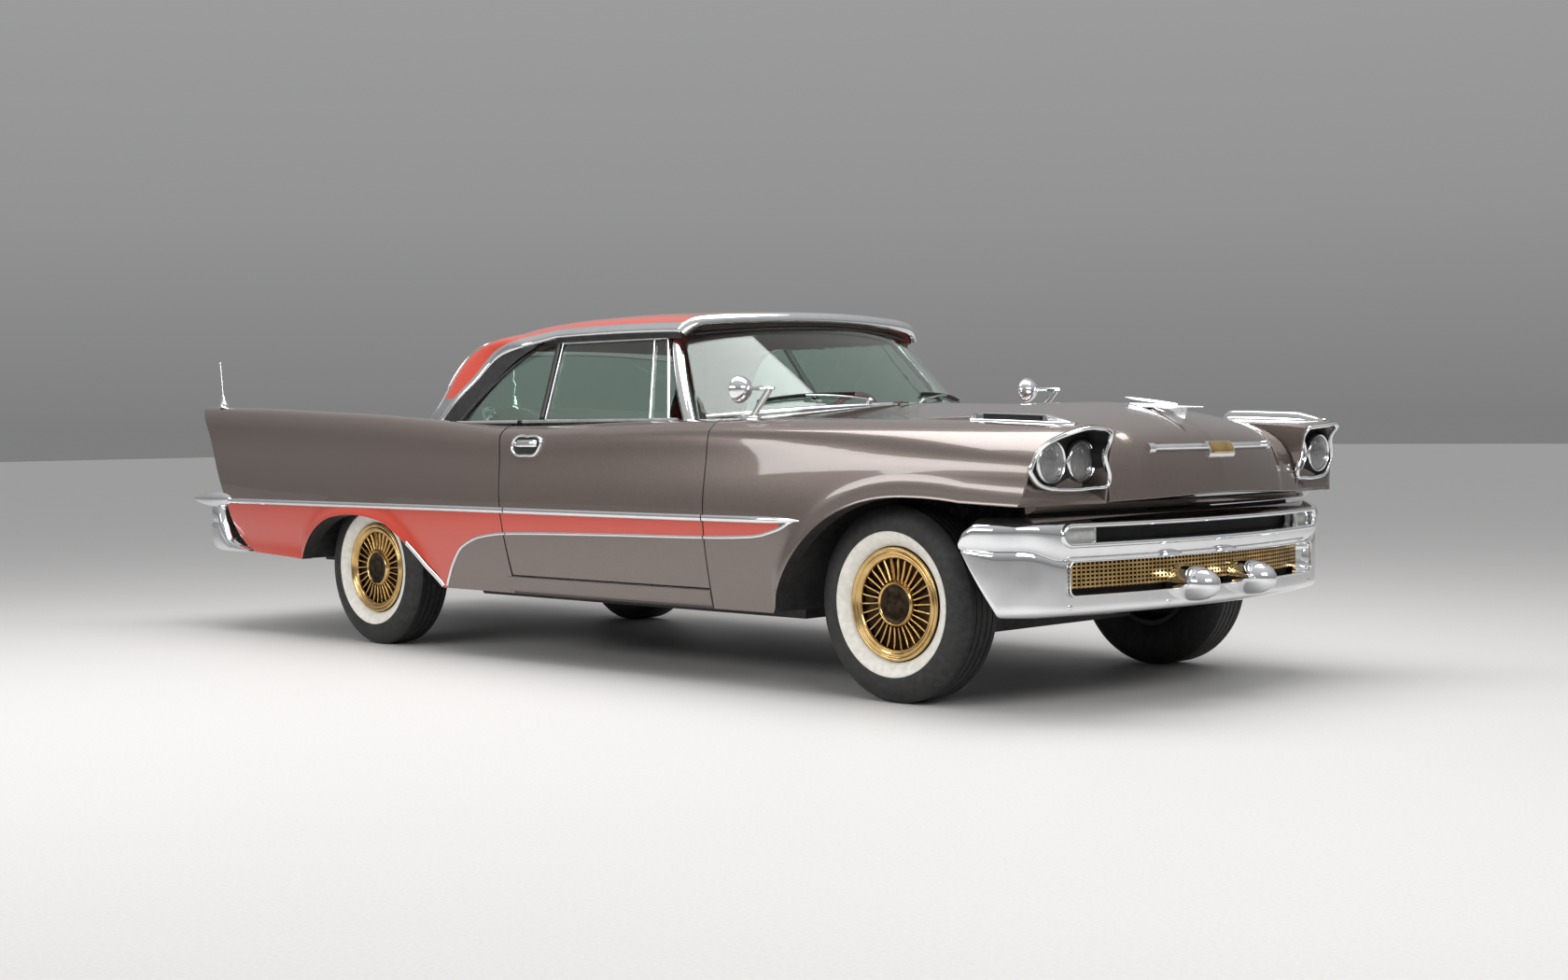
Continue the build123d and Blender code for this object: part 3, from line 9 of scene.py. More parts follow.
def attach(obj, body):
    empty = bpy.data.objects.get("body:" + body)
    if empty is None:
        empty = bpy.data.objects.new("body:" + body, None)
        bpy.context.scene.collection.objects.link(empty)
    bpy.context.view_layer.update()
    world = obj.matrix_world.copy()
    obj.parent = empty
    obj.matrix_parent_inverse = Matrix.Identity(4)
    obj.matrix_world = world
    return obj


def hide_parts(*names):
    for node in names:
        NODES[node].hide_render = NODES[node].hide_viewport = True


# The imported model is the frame. +X is ahead, +Y the car's left, +Z up, all in metres.
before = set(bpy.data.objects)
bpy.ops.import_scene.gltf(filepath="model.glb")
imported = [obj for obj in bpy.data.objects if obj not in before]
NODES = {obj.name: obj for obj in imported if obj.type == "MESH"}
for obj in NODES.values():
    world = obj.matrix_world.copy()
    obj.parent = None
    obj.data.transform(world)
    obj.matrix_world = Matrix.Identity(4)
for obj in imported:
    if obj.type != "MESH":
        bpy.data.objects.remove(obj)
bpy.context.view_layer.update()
SCENE = bpy.context.scene
FRONT_AXLE, REAR_AXLE = 1.876, -1.324
SIDES = (("right", -1), ("left", 1))


def fx(ahead):
    """X of a place so many millimetres ahead of the front axle."""
    return FRONT_AXLE + ahead / 1000


def rx(ahead):
    """X of a place so many millimetres ahead of the rear axle."""
    return REAR_AXLE + ahead / 1000


# Materials, all from nodes
def shader_of(mat):
    """The material's principled shader."""
    return mat.node_tree.nodes["Principled BSDF"]


def blank(name, colour, rough, metal=0.0, **sockets):
    """A principled material with its even values on the shader's own sockets."""
    mat = bpy.data.materials.new(name)
    mat.use_nodes = True
    shader = shader_of(mat)
    shader.inputs["Base Color"].default_value = (*colour, 1)
    shader.inputs["Roughness"].default_value = rough
    shader.inputs["Metallic"].default_value = metal
    for key, value in sockets.items():
        shader.inputs[key.replace("_", " ").title().replace("Ior", "IOR")].default_value = value
    return mat


def node(mat, kind, **values):
    """Adds a node and sets its inputs by name."""
    made = mat.node_tree.nodes.new(kind)
    for key, value in values.items():
        if key in made.inputs:
            made.inputs[key].default_value = value
        else:
            setattr(made, key, value)
    return made


def join(mat, source, target):
    """Links two sockets of a material."""
    mat.node_tree.links.new(source, target)


def grain(mat, scale, detail=3.0):
    """Noise in the piece's own coordinates."""
    place = node(mat, "ShaderNodeTexCoord")
    noise = node(mat, "ShaderNodeTexNoise", Scale=scale, Detail=detail)
    join(mat, place.outputs["Object"], noise.inputs["Vector"])
    return noise.outputs["Fac"]


TINT_SPAN = (0.35, 0.65)


def tint(mat, fac, dark, light):
    """Base colour that runs from dark to light over a noise."""
    ramp = node(mat, "ShaderNodeValToRGB")
    for stop, place, colour in zip(ramp.color_ramp.elements, TINT_SPAN, (dark, light)):
        stop.position, stop.color = place, (*colour, 1)
    join(mat, fac, ramp.inputs["Fac"])
    join(mat, ramp.outputs["Color"], shader_of(mat).inputs["Base Color"])


def gloss(mat, fac, low, high):
    """Roughness that runs from low to high over a noise."""
    span = node(mat, "ShaderNodeMapRange", **{"To Min": low, "To Max": high})
    join(mat, fac, span.inputs["Value"])
    join(mat, span.outputs["Result"], shader_of(mat).inputs["Roughness"])


def relief(mat, fac, strength, distance):
    """A fine bump from a noise."""
    bump = node(mat, "ShaderNodeBump", Strength=strength, Distance=distance)
    join(mat, fac, bump.inputs["Height"])
    join(mat, bump.outputs["Normal"], shader_of(mat).inputs["Normal"])


def paint(name, dark, light, metal, rough):
    """Clear-coated paint with flakes and a faint unevenness."""
    mat = blank(name, light, rough, metal, coat_weight=1.0, coat_roughness=0.03)
    tint(mat, grain(mat, 700, 2), dark, light)
    gloss(mat, grain(mat, 3, 2), rough - 0.02, rough + 0.02)
    return mat


def metal(name, dark, light, low, high, scale=5):
    """Bare metal, uneven in colour and gloss."""
    mat = blank(name, light, low, 1.0)
    tint(mat, grain(mat, scale * 3), dark, light)
    gloss(mat, grain(mat, scale, 5), low, high)
    return mat


def rubber(name, dark, light, rough):
    """A dull grained surface."""
    mat = blank(name, light, rough)
    tint(mat, grain(mat, 40, 5), dark, light)
    gloss(mat, grain(mat, 9, 4), rough - 0.1, rough + 0.12)
    relief(mat, grain(mat, 260, 4), 0.25, 0.001)
    return mat


def cloth(name, dark, light, weave):
    """Woven seat cloth: two crossed waves as threads, with sheen."""
    mat = blank(name, light, 0.75, sheen_weight=0.4, sheen_roughness=0.4)
    place = node(mat, "ShaderNodeTexCoord")
    height = []
    for way in ("X", "Y"):
        wave = node(mat, "ShaderNodeTexWave", bands_direction=way, Scale=weave, Distortion=1.5)
        join(mat, place.outputs["Object"], wave.inputs["Vector"])
        height.append(wave.outputs["Fac"])
    cross = node(mat, "ShaderNodeMath", operation="MULTIPLY")
    join(mat, height[0], cross.inputs[0])
    join(mat, height[1], cross.inputs[1])
    relief(mat, cross.outputs["Value"], 0.3, 0.001)
    tint(mat, grain(mat, 180, 4), dark, light)
    return mat


TAUPE = paint("taupe_paint", (0.115, 0.088, 0.077), (0.190, 0.150, 0.132), 0.55, 0.26)
CORAL = paint("coral_paint", (0.44, 0.036, 0.015), (0.56, 0.052, 0.022), 0.0, 0.24)
CHROME = metal("bright_chrome", (0.80, 0.81, 0.82), (0.85, 0.86, 0.87), 0.025, 0.050)
SATIN = metal("satin_chrome", (0.52, 0.53, 0.55), (0.70, 0.71, 0.72), 0.16, 0.30)
GOLD = metal("gold_plate", (0.50, 0.33, 0.13), (0.72, 0.50, 0.22), 0.10, 0.22)
BRONZE = metal("bronze_recess", (0.020, 0.014, 0.009), (0.060, 0.042, 0.026), 0.28, 0.42, 12)
STEEL = metal("bare_steel", (0.22, 0.22, 0.22), (0.42, 0.42, 0.42), 0.30, 0.50, 14)
CAST = metal("cast_iron", (0.030, 0.030, 0.032), (0.085, 0.085, 0.088), 0.50, 0.70, 16)
CHASSIS = rubber("chassis_black", (0.010, 0.010, 0.010), (0.026, 0.025, 0.024), 0.55)
# Near-black for the dial faces, and as painted shade in hollows, recesses and the gap behind the front lip
BLACK_AND_SHADE = rubber("black_and_painted_shade", (0.004, 0.004, 0.004), (0.010, 0.010, 0.010), 0.65)
TYRE = rubber("tyre_black", (0.010, 0.010, 0.010), (0.024, 0.023, 0.022), 0.60)
WHITEWALL = rubber("whitewall", (0.70, 0.67, 0.60), (0.82, 0.80, 0.74), 0.50)
SEAL = rubber("black_seal", (0.006, 0.006, 0.006), (0.016, 0.016, 0.016), 0.45)
CARPET = cloth("floor_carpet", (0.030, 0.022, 0.020), (0.070, 0.055, 0.050), 160)
SEAT_RED = cloth("coral_seat_cloth", (0.36, 0.040, 0.024), (0.52, 0.075, 0.045), 220)
SEAT_PALE = cloth("pale_seat_cloth", (0.50, 0.45, 0.40), (0.66, 0.61, 0.55), 220)
DASH = paint("dash_paint", (0.40, 0.045, 0.024), (0.50, 0.060, 0.032), 0.0, 0.35)
PLASTIC = paint("wheel_plastic", (0.44, 0.050, 0.026), (0.56, 0.070, 0.036), 0.0, 0.28)


def glass(name, colour, rough, scale):
    """Clear glass with one even tint."""
    mat = blank(name, colour, rough, transmission_weight=1.0, ior=1.48)
    gloss(mat, grain(mat, scale, 3), rough, rough + 0.012)
    tint(mat, grain(mat, 1.5, 2), tuple(c * 0.96 for c in colour), colour)
    return mat


TINTED = glass("tinted_glass", (0.66, 0.82, 0.74), 0.0, 4)
FROSTED = blank("frosted_lens", (0.86, 0.86, 0.84), 0.35, transmission_weight=0.5)
tint(FROSTED, grain(FROSTED, 60), (0.74, 0.74, 0.72), (0.90, 0.90, 0.88))
RUBY = blank("ruby_lens", (0.50, 0.012, 0.010), 0.10, transmission_weight=0.35, coat_weight=0.6)
tint(RUBY, grain(RUBY, 40), (0.36, 0.006, 0.006), (0.58, 0.016, 0.012))
REFLECTOR = metal("lamp_reflector", (0.88, 0.89, 0.90), (0.95, 0.95, 0.95), 0.35, 0.45, 20)


# Mesh helpers. A shape is a pair of vertices and faces.
def add(name, data):
    """A new object in the scene."""
    obj = bpy.data.objects.new(name, data)
    SCENE.collection.objects.link(obj)
    return obj


def soften(obj, width, crease):
    """Rounds the edges of a piece that are sharper than the crease angle."""
    bevel = obj.modifiers.new("edge", "BEVEL")
    bevel.width = width
    bevel.segments = 2
    bevel.limit_method = "ANGLE"
    bevel.angle_limit = math.radians(crease)
    bevel.harden_normals = True


def piece(name, shape, body, mats, picks=None, crease=50, round_off=0.0):
    """A closed mesh that rides on a body. picks gives each face its place in mats."""
    verts, faces = shape
    mesh = bpy.data.meshes.new(name)
    mesh.from_pydata([tuple(v) for v in verts], [], faces)
    obj = add(name, mesh)
    for mat in mats:
        mesh.materials.append(mat)
    if picks:
        mesh.polygons.foreach_set("material_index", picks)
    clean = bmesh.new()
    clean.from_mesh(mesh)
    bmesh.ops.remove_doubles(clean, verts=clean.verts, dist=1e-6)
    bmesh.ops.recalc_face_normals(clean, faces=clean.faces)
    clean.to_mesh(mesh)
    clean.free()
    mesh.shade_smooth()
    mesh.set_sharp_from_angle(angle=math.radians(crease))
    if round_off:
        soften(obj, round_off, crease)
    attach(obj, body)
    return obj


def skin_faces(rows, cols, ring_rows=False, ring_cols=False, start=0):
    """Quads over a grid of rows by cols vertices, closed round either way if asked."""
    faces = []
    for i in range(rows if ring_rows else rows - 1):
        for j in range(cols if ring_cols else cols - 1):
            k, m = (i + 1) % rows, (j + 1) % cols
            faces.append((start + i * cols + j, start + k * cols + j, start + k * cols + m, start + i * cols + m))
    return faces


def tube(loops, ring=False):
    """A skin over equal closed loops. Its ends are closed, or joined to each other as a ring."""
    cols = len(loops[0])
    faces = skin_faces(len(loops), cols, ring_rows=ring, ring_cols=True)
    if not ring:
        faces.append(tuple(range(cols)))
        faces.append(tuple(range((len(loops) - 1) * cols, len(loops) * cols)))
    return [v for loop in loops for v in loop], faces


def merge(shapes):
    """Joins several shapes into one."""
    verts, faces = [], []
    for some_verts, some_faces in shapes:
        base = len(verts)
        verts += list(some_verts)
        faces += [tuple(base + i for i in face) for face in some_faces]
    return verts, faces


def trim(name, shapes, body="body", mat=CHROME):
    """One piece of several shapes in one material, bright metal unless told otherwise."""
    return piece(name, merge(shapes), body, [mat])


def turns(count):
    """Angles that divide the circle evenly."""
    return [2 * math.pi * k / count for k in range(count)]


def lathe(profile, count, centre, out):
    """Turns a profile of radius and outward place about a crosswise axle."""
    verts = []
    for turn in turns(count):
        c, s = math.cos(turn), math.sin(turn)
        verts += [(centre[0] + r * c, centre[1] + out * a, centre[2] + r * s) for r, a in profile]
    return verts, skin_faces(count, len(profile), ring_rows=True, ring_cols=True)


# Radius of a profile's ends on its axis, small enough to look closed
AXIS = 0.0006


def turned(profile, count, origin, axis):
    """Turns a profile of radius and place along an axis in any direction."""
    axis = Vector(axis).normalized()
    across = axis.orthogonal().normalized()
    other = axis.cross(across)
    origin = Vector(origin)
    verts = []
    for turn in turns(count):
        spoke = across * math.cos(turn) + other * math.sin(turn)
        verts += [origin + spoke * r + axis * a for r, a in profile]
    return verts, skin_faces(count, len(profile), ring_rows=True, ring_cols=True)


DOME = ((-1, -1), (-1, 0.25), (-0.86, 0.62), (-0.5, 0.9), (0, 1), (0.5, 0.9), (0.86, 0.62), (1, 0.25), (1, -1))


def strip(path, outs, width, proud, sink=0.004, taper=(1.0, 1.0), run=0.04, sizes=None):
    """A domed bar along a path with outward directions. taper scales its two ends, sizes each of its points."""
    path = [Vector(p) for p in path]
    outs = [Vector(o).normalized() for o in outs]
    far = [0.0]
    for a, b in zip(path, path[1:]):
        far.append(far[-1] + (b - a).length)
    loops = []
    for i, spot in enumerate(path):
        along = (path[min(i + 1, len(path) - 1)] - path[max(i - 1, 0)]).normalized()
        side = along.cross(outs[i]).normalized()
        up = side.cross(along).normalized()
        size = sizes[i] if sizes else 1.0
        for end, gap in ((taper[0], far[i]), (taper[1], far[-1] - far[i])):
            if gap < run:
                size = min(size, end + (1 - end) * math.sqrt(gap / run))
        half, high = width / 2 * size, proud * size
        loops.append([spot + side * half * a + up * (high * b if b > 0 else b * sink) for a, b in DOME])
    return tube(loops)


def ribbon(spots, width, proud, **more):
    """A domed bar along pairs of a point and its outward direction."""
    return strip([p for p, o in spots], [o for p, o in spots], width, proud, **more)


def batten(path, out, width, proud, **more):
    """A domed bar along a path with one outward direction."""
    return strip(path, [out] * len(path), width, proud, **more)


def ring_bar(edge, outs, wide, high, count=12):
    """A round bar along a closed line, so wide across it and so high outward."""
    loops = []
    for k, (spot, out) in enumerate(zip(edge, outs)):
        along = (edge[(k + 1) % len(edge)] - edge[k - 1]).normalized()
        side_way = along.cross(out).normalized()
        loops.append([spot + side_way * wide * math.cos(t) + out * high * math.sin(t) for t in turns(count)])
    return tube(loops, ring=True)


def rod(path, radius, count=10, ends=None):
    """A round bar along a path. ends scales the radius along it."""
    path = [Vector(p) for p in path]
    loops = []
    side = None
    for i, spot in enumerate(path):
        along = (path[min(i + 1, len(path) - 1)] - path[max(i - 1, 0)]).normalized()
        side = along.orthogonal().normalized() if side is None else (side - along * side.dot(along)).normalized()
        up = along.cross(side)
        r = radius * (ends[i] if ends else 1)
        loops.append([spot + side * r * math.cos(t) + up * r * math.sin(t) for t in turns(count)])
    return tube(loops)


def in_order(xs, ys):
    """Two lists as arrays, sorted by the first."""
    order = np.argsort(xs)
    return np.asarray(xs, float)[order], np.asarray(ys, float)[order]


def natural(xs, ys):
    """A natural cubic spline through points in rising or falling order."""
    xs, ys = in_order(xs, ys)
    n, h = len(xs), np.diff(xs)
    a, b = np.eye(n), np.zeros(n)
    for i in range(1, n - 1):
        a[i, i - 1:i + 2] = h[i - 1], 2 * (h[i - 1] + h[i]), h[i]
        b[i] = 6 * ((ys[i + 1] - ys[i]) / h[i] - (ys[i] - ys[i - 1]) / h[i - 1])
    m = np.linalg.solve(a, b)

    def at(x):
        i = np.clip(np.searchsorted(xs, x) - 1, 0, n - 2)
        t, u = xs[i + 1] - x, x - xs[i]
        bent = (m[i] * t**3 + m[i + 1] * u**3) / (6 * h[i])
        return bent + (ys[i] / h[i] - m[i] * h[i] / 6) * t + (ys[i + 1] / h[i] - m[i + 1] * h[i] / 6) * u

    return at


def steady(xs, ys):
    """A cubic through points that never passes beyond them."""
    xs, ys = in_order(xs, ys)
    h = np.diff(xs)
    d = np.diff(ys) / h
    m = np.zeros(len(xs))
    m[0], m[-1] = d[0], d[-1]
    for i in range(1, len(xs) - 1):
        m[i] = 0 if d[i - 1] * d[i] <= 0 else 2 * d[i - 1] * d[i] / (d[i - 1] + d[i])

    def at(x):
        i = np.clip(np.searchsorted(xs, x) - 1, 0, len(xs) - 2)
        t = (x - xs[i]) / h[i]
        one = (1 + 2 * t) * (1 - t) ** 2 * ys[i] + t * (1 - t) ** 2 * h[i] * m[i]
        return one + t * t * (3 - 2 * t) * ys[i + 1] + t * t * (t - 1) * h[i] * m[i + 1]

    return at


def look_up(x, table):
    """The value at x on straight lines between pairs, sorted by their first number."""
    return float(np.interp(x, *zip(*table)))


def ease(t):
    """A smooth step from 0 to 1."""
    t = min(max(t, 0.0), 1.0)
    return t * t * (3 - 2 * t)


def mix(a, b, t):
    """The value a share t of the way from a to b."""
    return a + (b - a) * t


def arc_points(a, b, c, count):
    """Points on the plane arc from a through b to c."""
    (ax, ay), (bx, by), (cx, cy) = a, b, c
    d = 2 * (ax * (by - cy) + bx * (cy - ay) + cx * (ay - by))
    if abs(d) < 1e-9:
        return [(mix(ax, cx, i / (count - 1)), mix(ay, cy, i / (count - 1))) for i in range(count)]
    qa, qb, qc = ax * ax + ay * ay, bx * bx + by * by, cx * cx + cy * cy
    ox = (qa * (by - cy) + qb * (cy - ay) + qc * (ay - by)) / d
    oy = (qa * (cx - bx) + qb * (ax - cx) + qc * (bx - ax)) / d
    r = math.hypot(ax - ox, ay - oy)
    t0, t1, t2 = (math.atan2(p[1] - oy, p[0] - ox) for p in (a, b, c))
    sweep, via = (t2 - t0) % (2 * math.pi), (t1 - t0) % (2 * math.pi)
    if via > sweep:
        sweep -= 2 * math.pi
    return [(ox + r * math.cos(t0 + sweep * i / (count - 1)), oy + r * math.sin(t0 + sweep * i / (count - 1)))
            for i in range(count)]


def slab(top, bottom):
    """A closed skin between two equal grids of points."""
    rows, cols = len(top), len(top[0])
    verts = [v for row in top for v in row] + [v for row in bottom for v in row]
    base = rows * cols
    faces = skin_faces(rows, cols) + [tuple(reversed(f)) for f in skin_faces(rows, cols, start=base)]
    rim = list(range(cols)) + [i * cols + cols - 1 for i in range(1, rows)]
    rim += [(rows - 1) * cols + j for j in range(cols - 2, -1, -1)] + [i * cols for i in range(rows - 2, 0, -1)]
    for a, b in zip(rim, rim[1:] + rim[:1]):
        faces.append((a, b, base + b, base + a))
    return verts, faces


def plate(face, shift):
    """A closed sheet between a grid of points and the same grid moved."""
    return slab(face, [[v + Vector(shift) for v in row] for row in face])


def running(points):
    """Length of a line up to each of its points."""
    return np.concatenate(([0], np.cumsum(np.linalg.norm(np.diff(points, axis=0), axis=1))))


def smooth_line(points, shares):
    """Places at shares of the length of a smooth curve through a few given points, as an array."""
    pts = np.array([tuple(p) for p in points], float)
    reach = running(pts)
    at = np.asarray(shares) * reach[-1]
    return np.stack([natural(reach, column)(at) for column in pts.T], axis=-1)


def along_curve(points, shares):
    """Points at shares of the length of a smooth curve through a few given ones."""
    return [Vector(p) for p in smooth_line(points, shares)]


def through(points, count):
    """Points spread evenly along a smooth curve through a few given ones."""
    return along_curve(points, np.linspace(0, 1, count))


# Body sides, from the same sections as the solids
SILL_Z, WAIST_Z, GAP = 0.296, 0.640, 0.006
# columns: x, crest z, crest w, valley z, valley w, shoulder z, shoulder w, waist w, sill w (millimetres)
SIDE_SECTIONS = [
    (rx(-1420), 1122, 900, 905, 706, 1000, 932, 952, 900),
    (rx(-820), 1100, 910, 950, 706, 985, 946, 972, 918),
    (rx(-300), 1076, 916, 985, 708, 962, 956, 982, 930),
    (rx(508), 1031, 922, 1000, 790, 922, 965, 990, 938),
    (rx(1085), 990, 925, 985, 800, 890, 968, 992, 940),
    (fx(-1450), 1000, 925, 995, 806, 895, 968, 992, 940),
    (fx(-830), 1010, 915, 1003, 800, 900, 963, 990, 938),
    (fx(-300), 1004, 890, 1000, 598, 898, 955, 985, 935),
    (fx(250), 994, 850, 984, 596, 890, 946, 978, 930),
    (fx(620), 982, 812, 960, 592, 872, 938, 965, 925),
    (fx(880), 966, 770, 930, 592, 855, 920, 945, 915),
]
SECTION_X = [row[0] for row in SIDE_SECTIONS]
COLUMN = [
    (steady if k in (3, 4) else natural)(SECTION_X, [row[k] / 1000 for row in SIDE_SECTIONS]) for k in range(1, 9)
]
FLANK_STEPS = 60
CORNER_STEPS = 8
TOP_CROWN = 0.016


def section(x):
    """The body side's outer line at x from sill to valley, its running length, and where the crest lies."""
    crest_z, crest_w, valley_z, valley_w, shoulder_z, shoulder_w, waist_w, sill_w = (col(x) for col in COLUMN)
    knots = [
        (sill_w, SILL_Z),
        (mix(sill_w, waist_w, 0.56) + 0.004, mix(SILL_Z, WAIST_Z, 0.5)),
        (waist_w, WAIST_Z),
        ((waist_w + shoulder_w) / 2 + 0.005, (WAIST_Z + shoulder_z) / 2),
        (shoulder_w, shoulder_z),
        ((shoulder_w + crest_w) / 2 + 0.013, (shoulder_z + crest_z) / 2 + 0.008),
        (crest_w, crest_z),
    ]
    flank = smooth_line(knots, np.linspace(0, 1, FLANK_STEPS))
    top = np.array([(mix(crest_w, valley_w, t), mix(crest_z, valley_z, t) + TOP_CROWN * t * (1 - t))
                    for t in np.linspace(0, 1, 24)])
    # The crest is rounded: wide over the fenders, tight on the fins
    soft = mix(0.020, 0.052, ease((x - rx(700)) / 1.2))
    steps = np.hypot(*np.diff(flank, axis=0).T)
    keep = np.cumsum(steps[::-1])[::-1] > soft
    flank = flank[:-1][keep]
    top_far = np.hypot(*(top - top[0]).T)
    top = top[top_far > soft]
    corner = np.array((crest_w, crest_z))
    bend = np.array([(1 - t) ** 2 * flank[-1] + 2 * t * (1 - t) * corner + t * t * top[0]
                     for t in np.linspace(0, 1, CORNER_STEPS + 2)[1:-1]])
    line = np.concatenate((flank, bend, top))
    return line, running(line), len(flank)


def on_line(line, far, places):
    """Points of a section's line at places along its length."""
    return np.stack((np.interp(places, far, line[:, 0]), np.interp(places, far, line[:, 1])), axis=1)


def half_width(x, z):
    """Half width of the body side at a height, on its flank."""
    line, _, crest = section(x)
    return float(np.interp(z, line[:crest, 1], line[:crest, 0]))


def side_spot(x, z, side, lift=0.0):
    """A point on the flank and its outward direction."""
    w = half_width(x, z)
    lean = (half_width(x, z + 0.01) - half_width(x, z - 0.01)) / 0.02
    run = (half_width(x + 0.02, z) - half_width(x - 0.02, z)) / 0.04
    out = Vector((-run, side, -lean)).normalized()
    return Vector((x, side * w, z)) + out * lift, out


# Edges of the panels in side view
DOOR_FRONT_X, DOOR_REAR_X, DOOR_FOOT_Z, DOOR_INNER_W = fx(-836), rx(1160), 0.374, 0.838
FRONT_ARCH_KNOTS = [
    (fx(-510), SILL_Z), (fx(-470), 0.376), (fx(-333), 0.548), (fx(-170), 0.661), (fx(-40), 0.709), (fx(80), 0.729),
    (fx(200), 0.7325), (fx(310), 0.728), (fx(420), 0.718),
]
FRONT_ARCH = [tuple(p) for p in through(FRONT_ARCH_KNOTS, 70)] + [(fx(860), 0.702)]
REAR_ARCH = arc_points((rx(655), SILL_Z), (rx(500), 0.445), (rx(290), 0.572), 18)
REAR_ARCH += arc_points((rx(290), 0.572), (rx(70), 0.600), (rx(-130), 0.584), 14)[1:]
REAR_ARCH += arc_points((rx(-130), 0.584), (rx(-310), 0.500), (rx(-420), 0.380), 16)[1:]
REAR_ARCH += [(rx(-640), 0.386), (rx(-1400), 0.400)]
# columns: middle x, radius, half width of each wheelhouse
HOUSES = {"front": (fx(0), 0.412, 0.930), "rear": (rx(0), 0.395, 0.905)}
HUB_Z = 0.350


def front_edge(x):
    """Height of the fender's lower edge at x: the sill, then the wheel arch."""
    return SILL_Z if x <= fx(-510) else look_up(x, sorted(FRONT_ARCH))


def rear_edge(x):
    """Height of the quarter panel's lower edge at x: the sill, then the wheel arch."""
    return SILL_Z if x >= rx(655) else look_up(x, sorted(REAR_ARCH))


def door_edge(x):
    """Height of the door's lower edge, the same at any x."""
    return DOOR_FOOT_Z


# Lower edge of the coral sweep along the side, and the moulding above it
SWEEP = steady([fx(-2512), fx(-2440), fx(-2350), fx(-2200), fx(-2030), fx(-1400), fx(-792), fx(-560), fx(-436)],
               [0.300, 0.400, 0.482, 0.530, 0.547, 0.560, 0.568, 0.578, 0.606])
SWEEP_TIP, SWEEP_FOOT = fx(-436), fx(-2512)
LINE_Z = 0.636

# Lean of the tail's end: a slanted upper part over a curved foot
TAIL_TURN_Z = 0.632
TAIL_CURVE = [(0.400, 0.372), (0.430, 0.290), (0.478, 0.222), (0.560, 0.172), (TAIL_TURN_Z, 0.140)]


def tail_shift(z):
    """How far the tail's end at a height lies from its middle."""
    if z >= TAIL_TURN_Z:
        return mix(0.140, -0.140, (z - TAIL_TURN_Z) / 0.503)
    return look_up(z, TAIL_CURVE)


LAMP_X, LAMP_Z, LAMP_W, LAMPS_MID_W = fx(683), 0.852, (0.832, 0.669), 0.755
NOSE_SLANT, NOSE_RAKE, BROW = 0.206, 0.144, 0.058


def lamp_shift(w, z):
    """How far the nose at a place lies from the middle of the lamp's face, with its brow."""
    flat = NOSE_SLANT * (LAMPS_MID_W - w) + NOSE_RAKE * (z - 0.850)
    fade = (0.20 + 0.80 * ease((0.93 - w) / 0.14)) * (1 - 0.9 * ease((0.71 - w) / 0.11))
    return flat + BROW * ease((z - 0.890) / 0.070) * fade


SIDE_MATS = [TAUPE, CORAL, CHASSIS]
# cells up the lower, the middle and the upper band of a side, and the upper band's share round the crest and on top
LOW_CELLS, MID_CELLS, UP_CELLS, CREST_CELLS, TOP_CELLS = 7, 7, 26, 10, 4
# least heights of the lower band, the middle band and both together
LEAST_LOW, LEAST_MID, LEAST_BOTH = 0.005, 0.012, 0.03
LIP_FLARE, LIP_REACH, WALL_THICK = 0.017, 0.036, 0.02


def coral_side(x, upper):
    """Whether the lower or the middle band of the side is coral at x."""
    return x < SWEEP_FOOT or upper and x < SWEEP_TIP


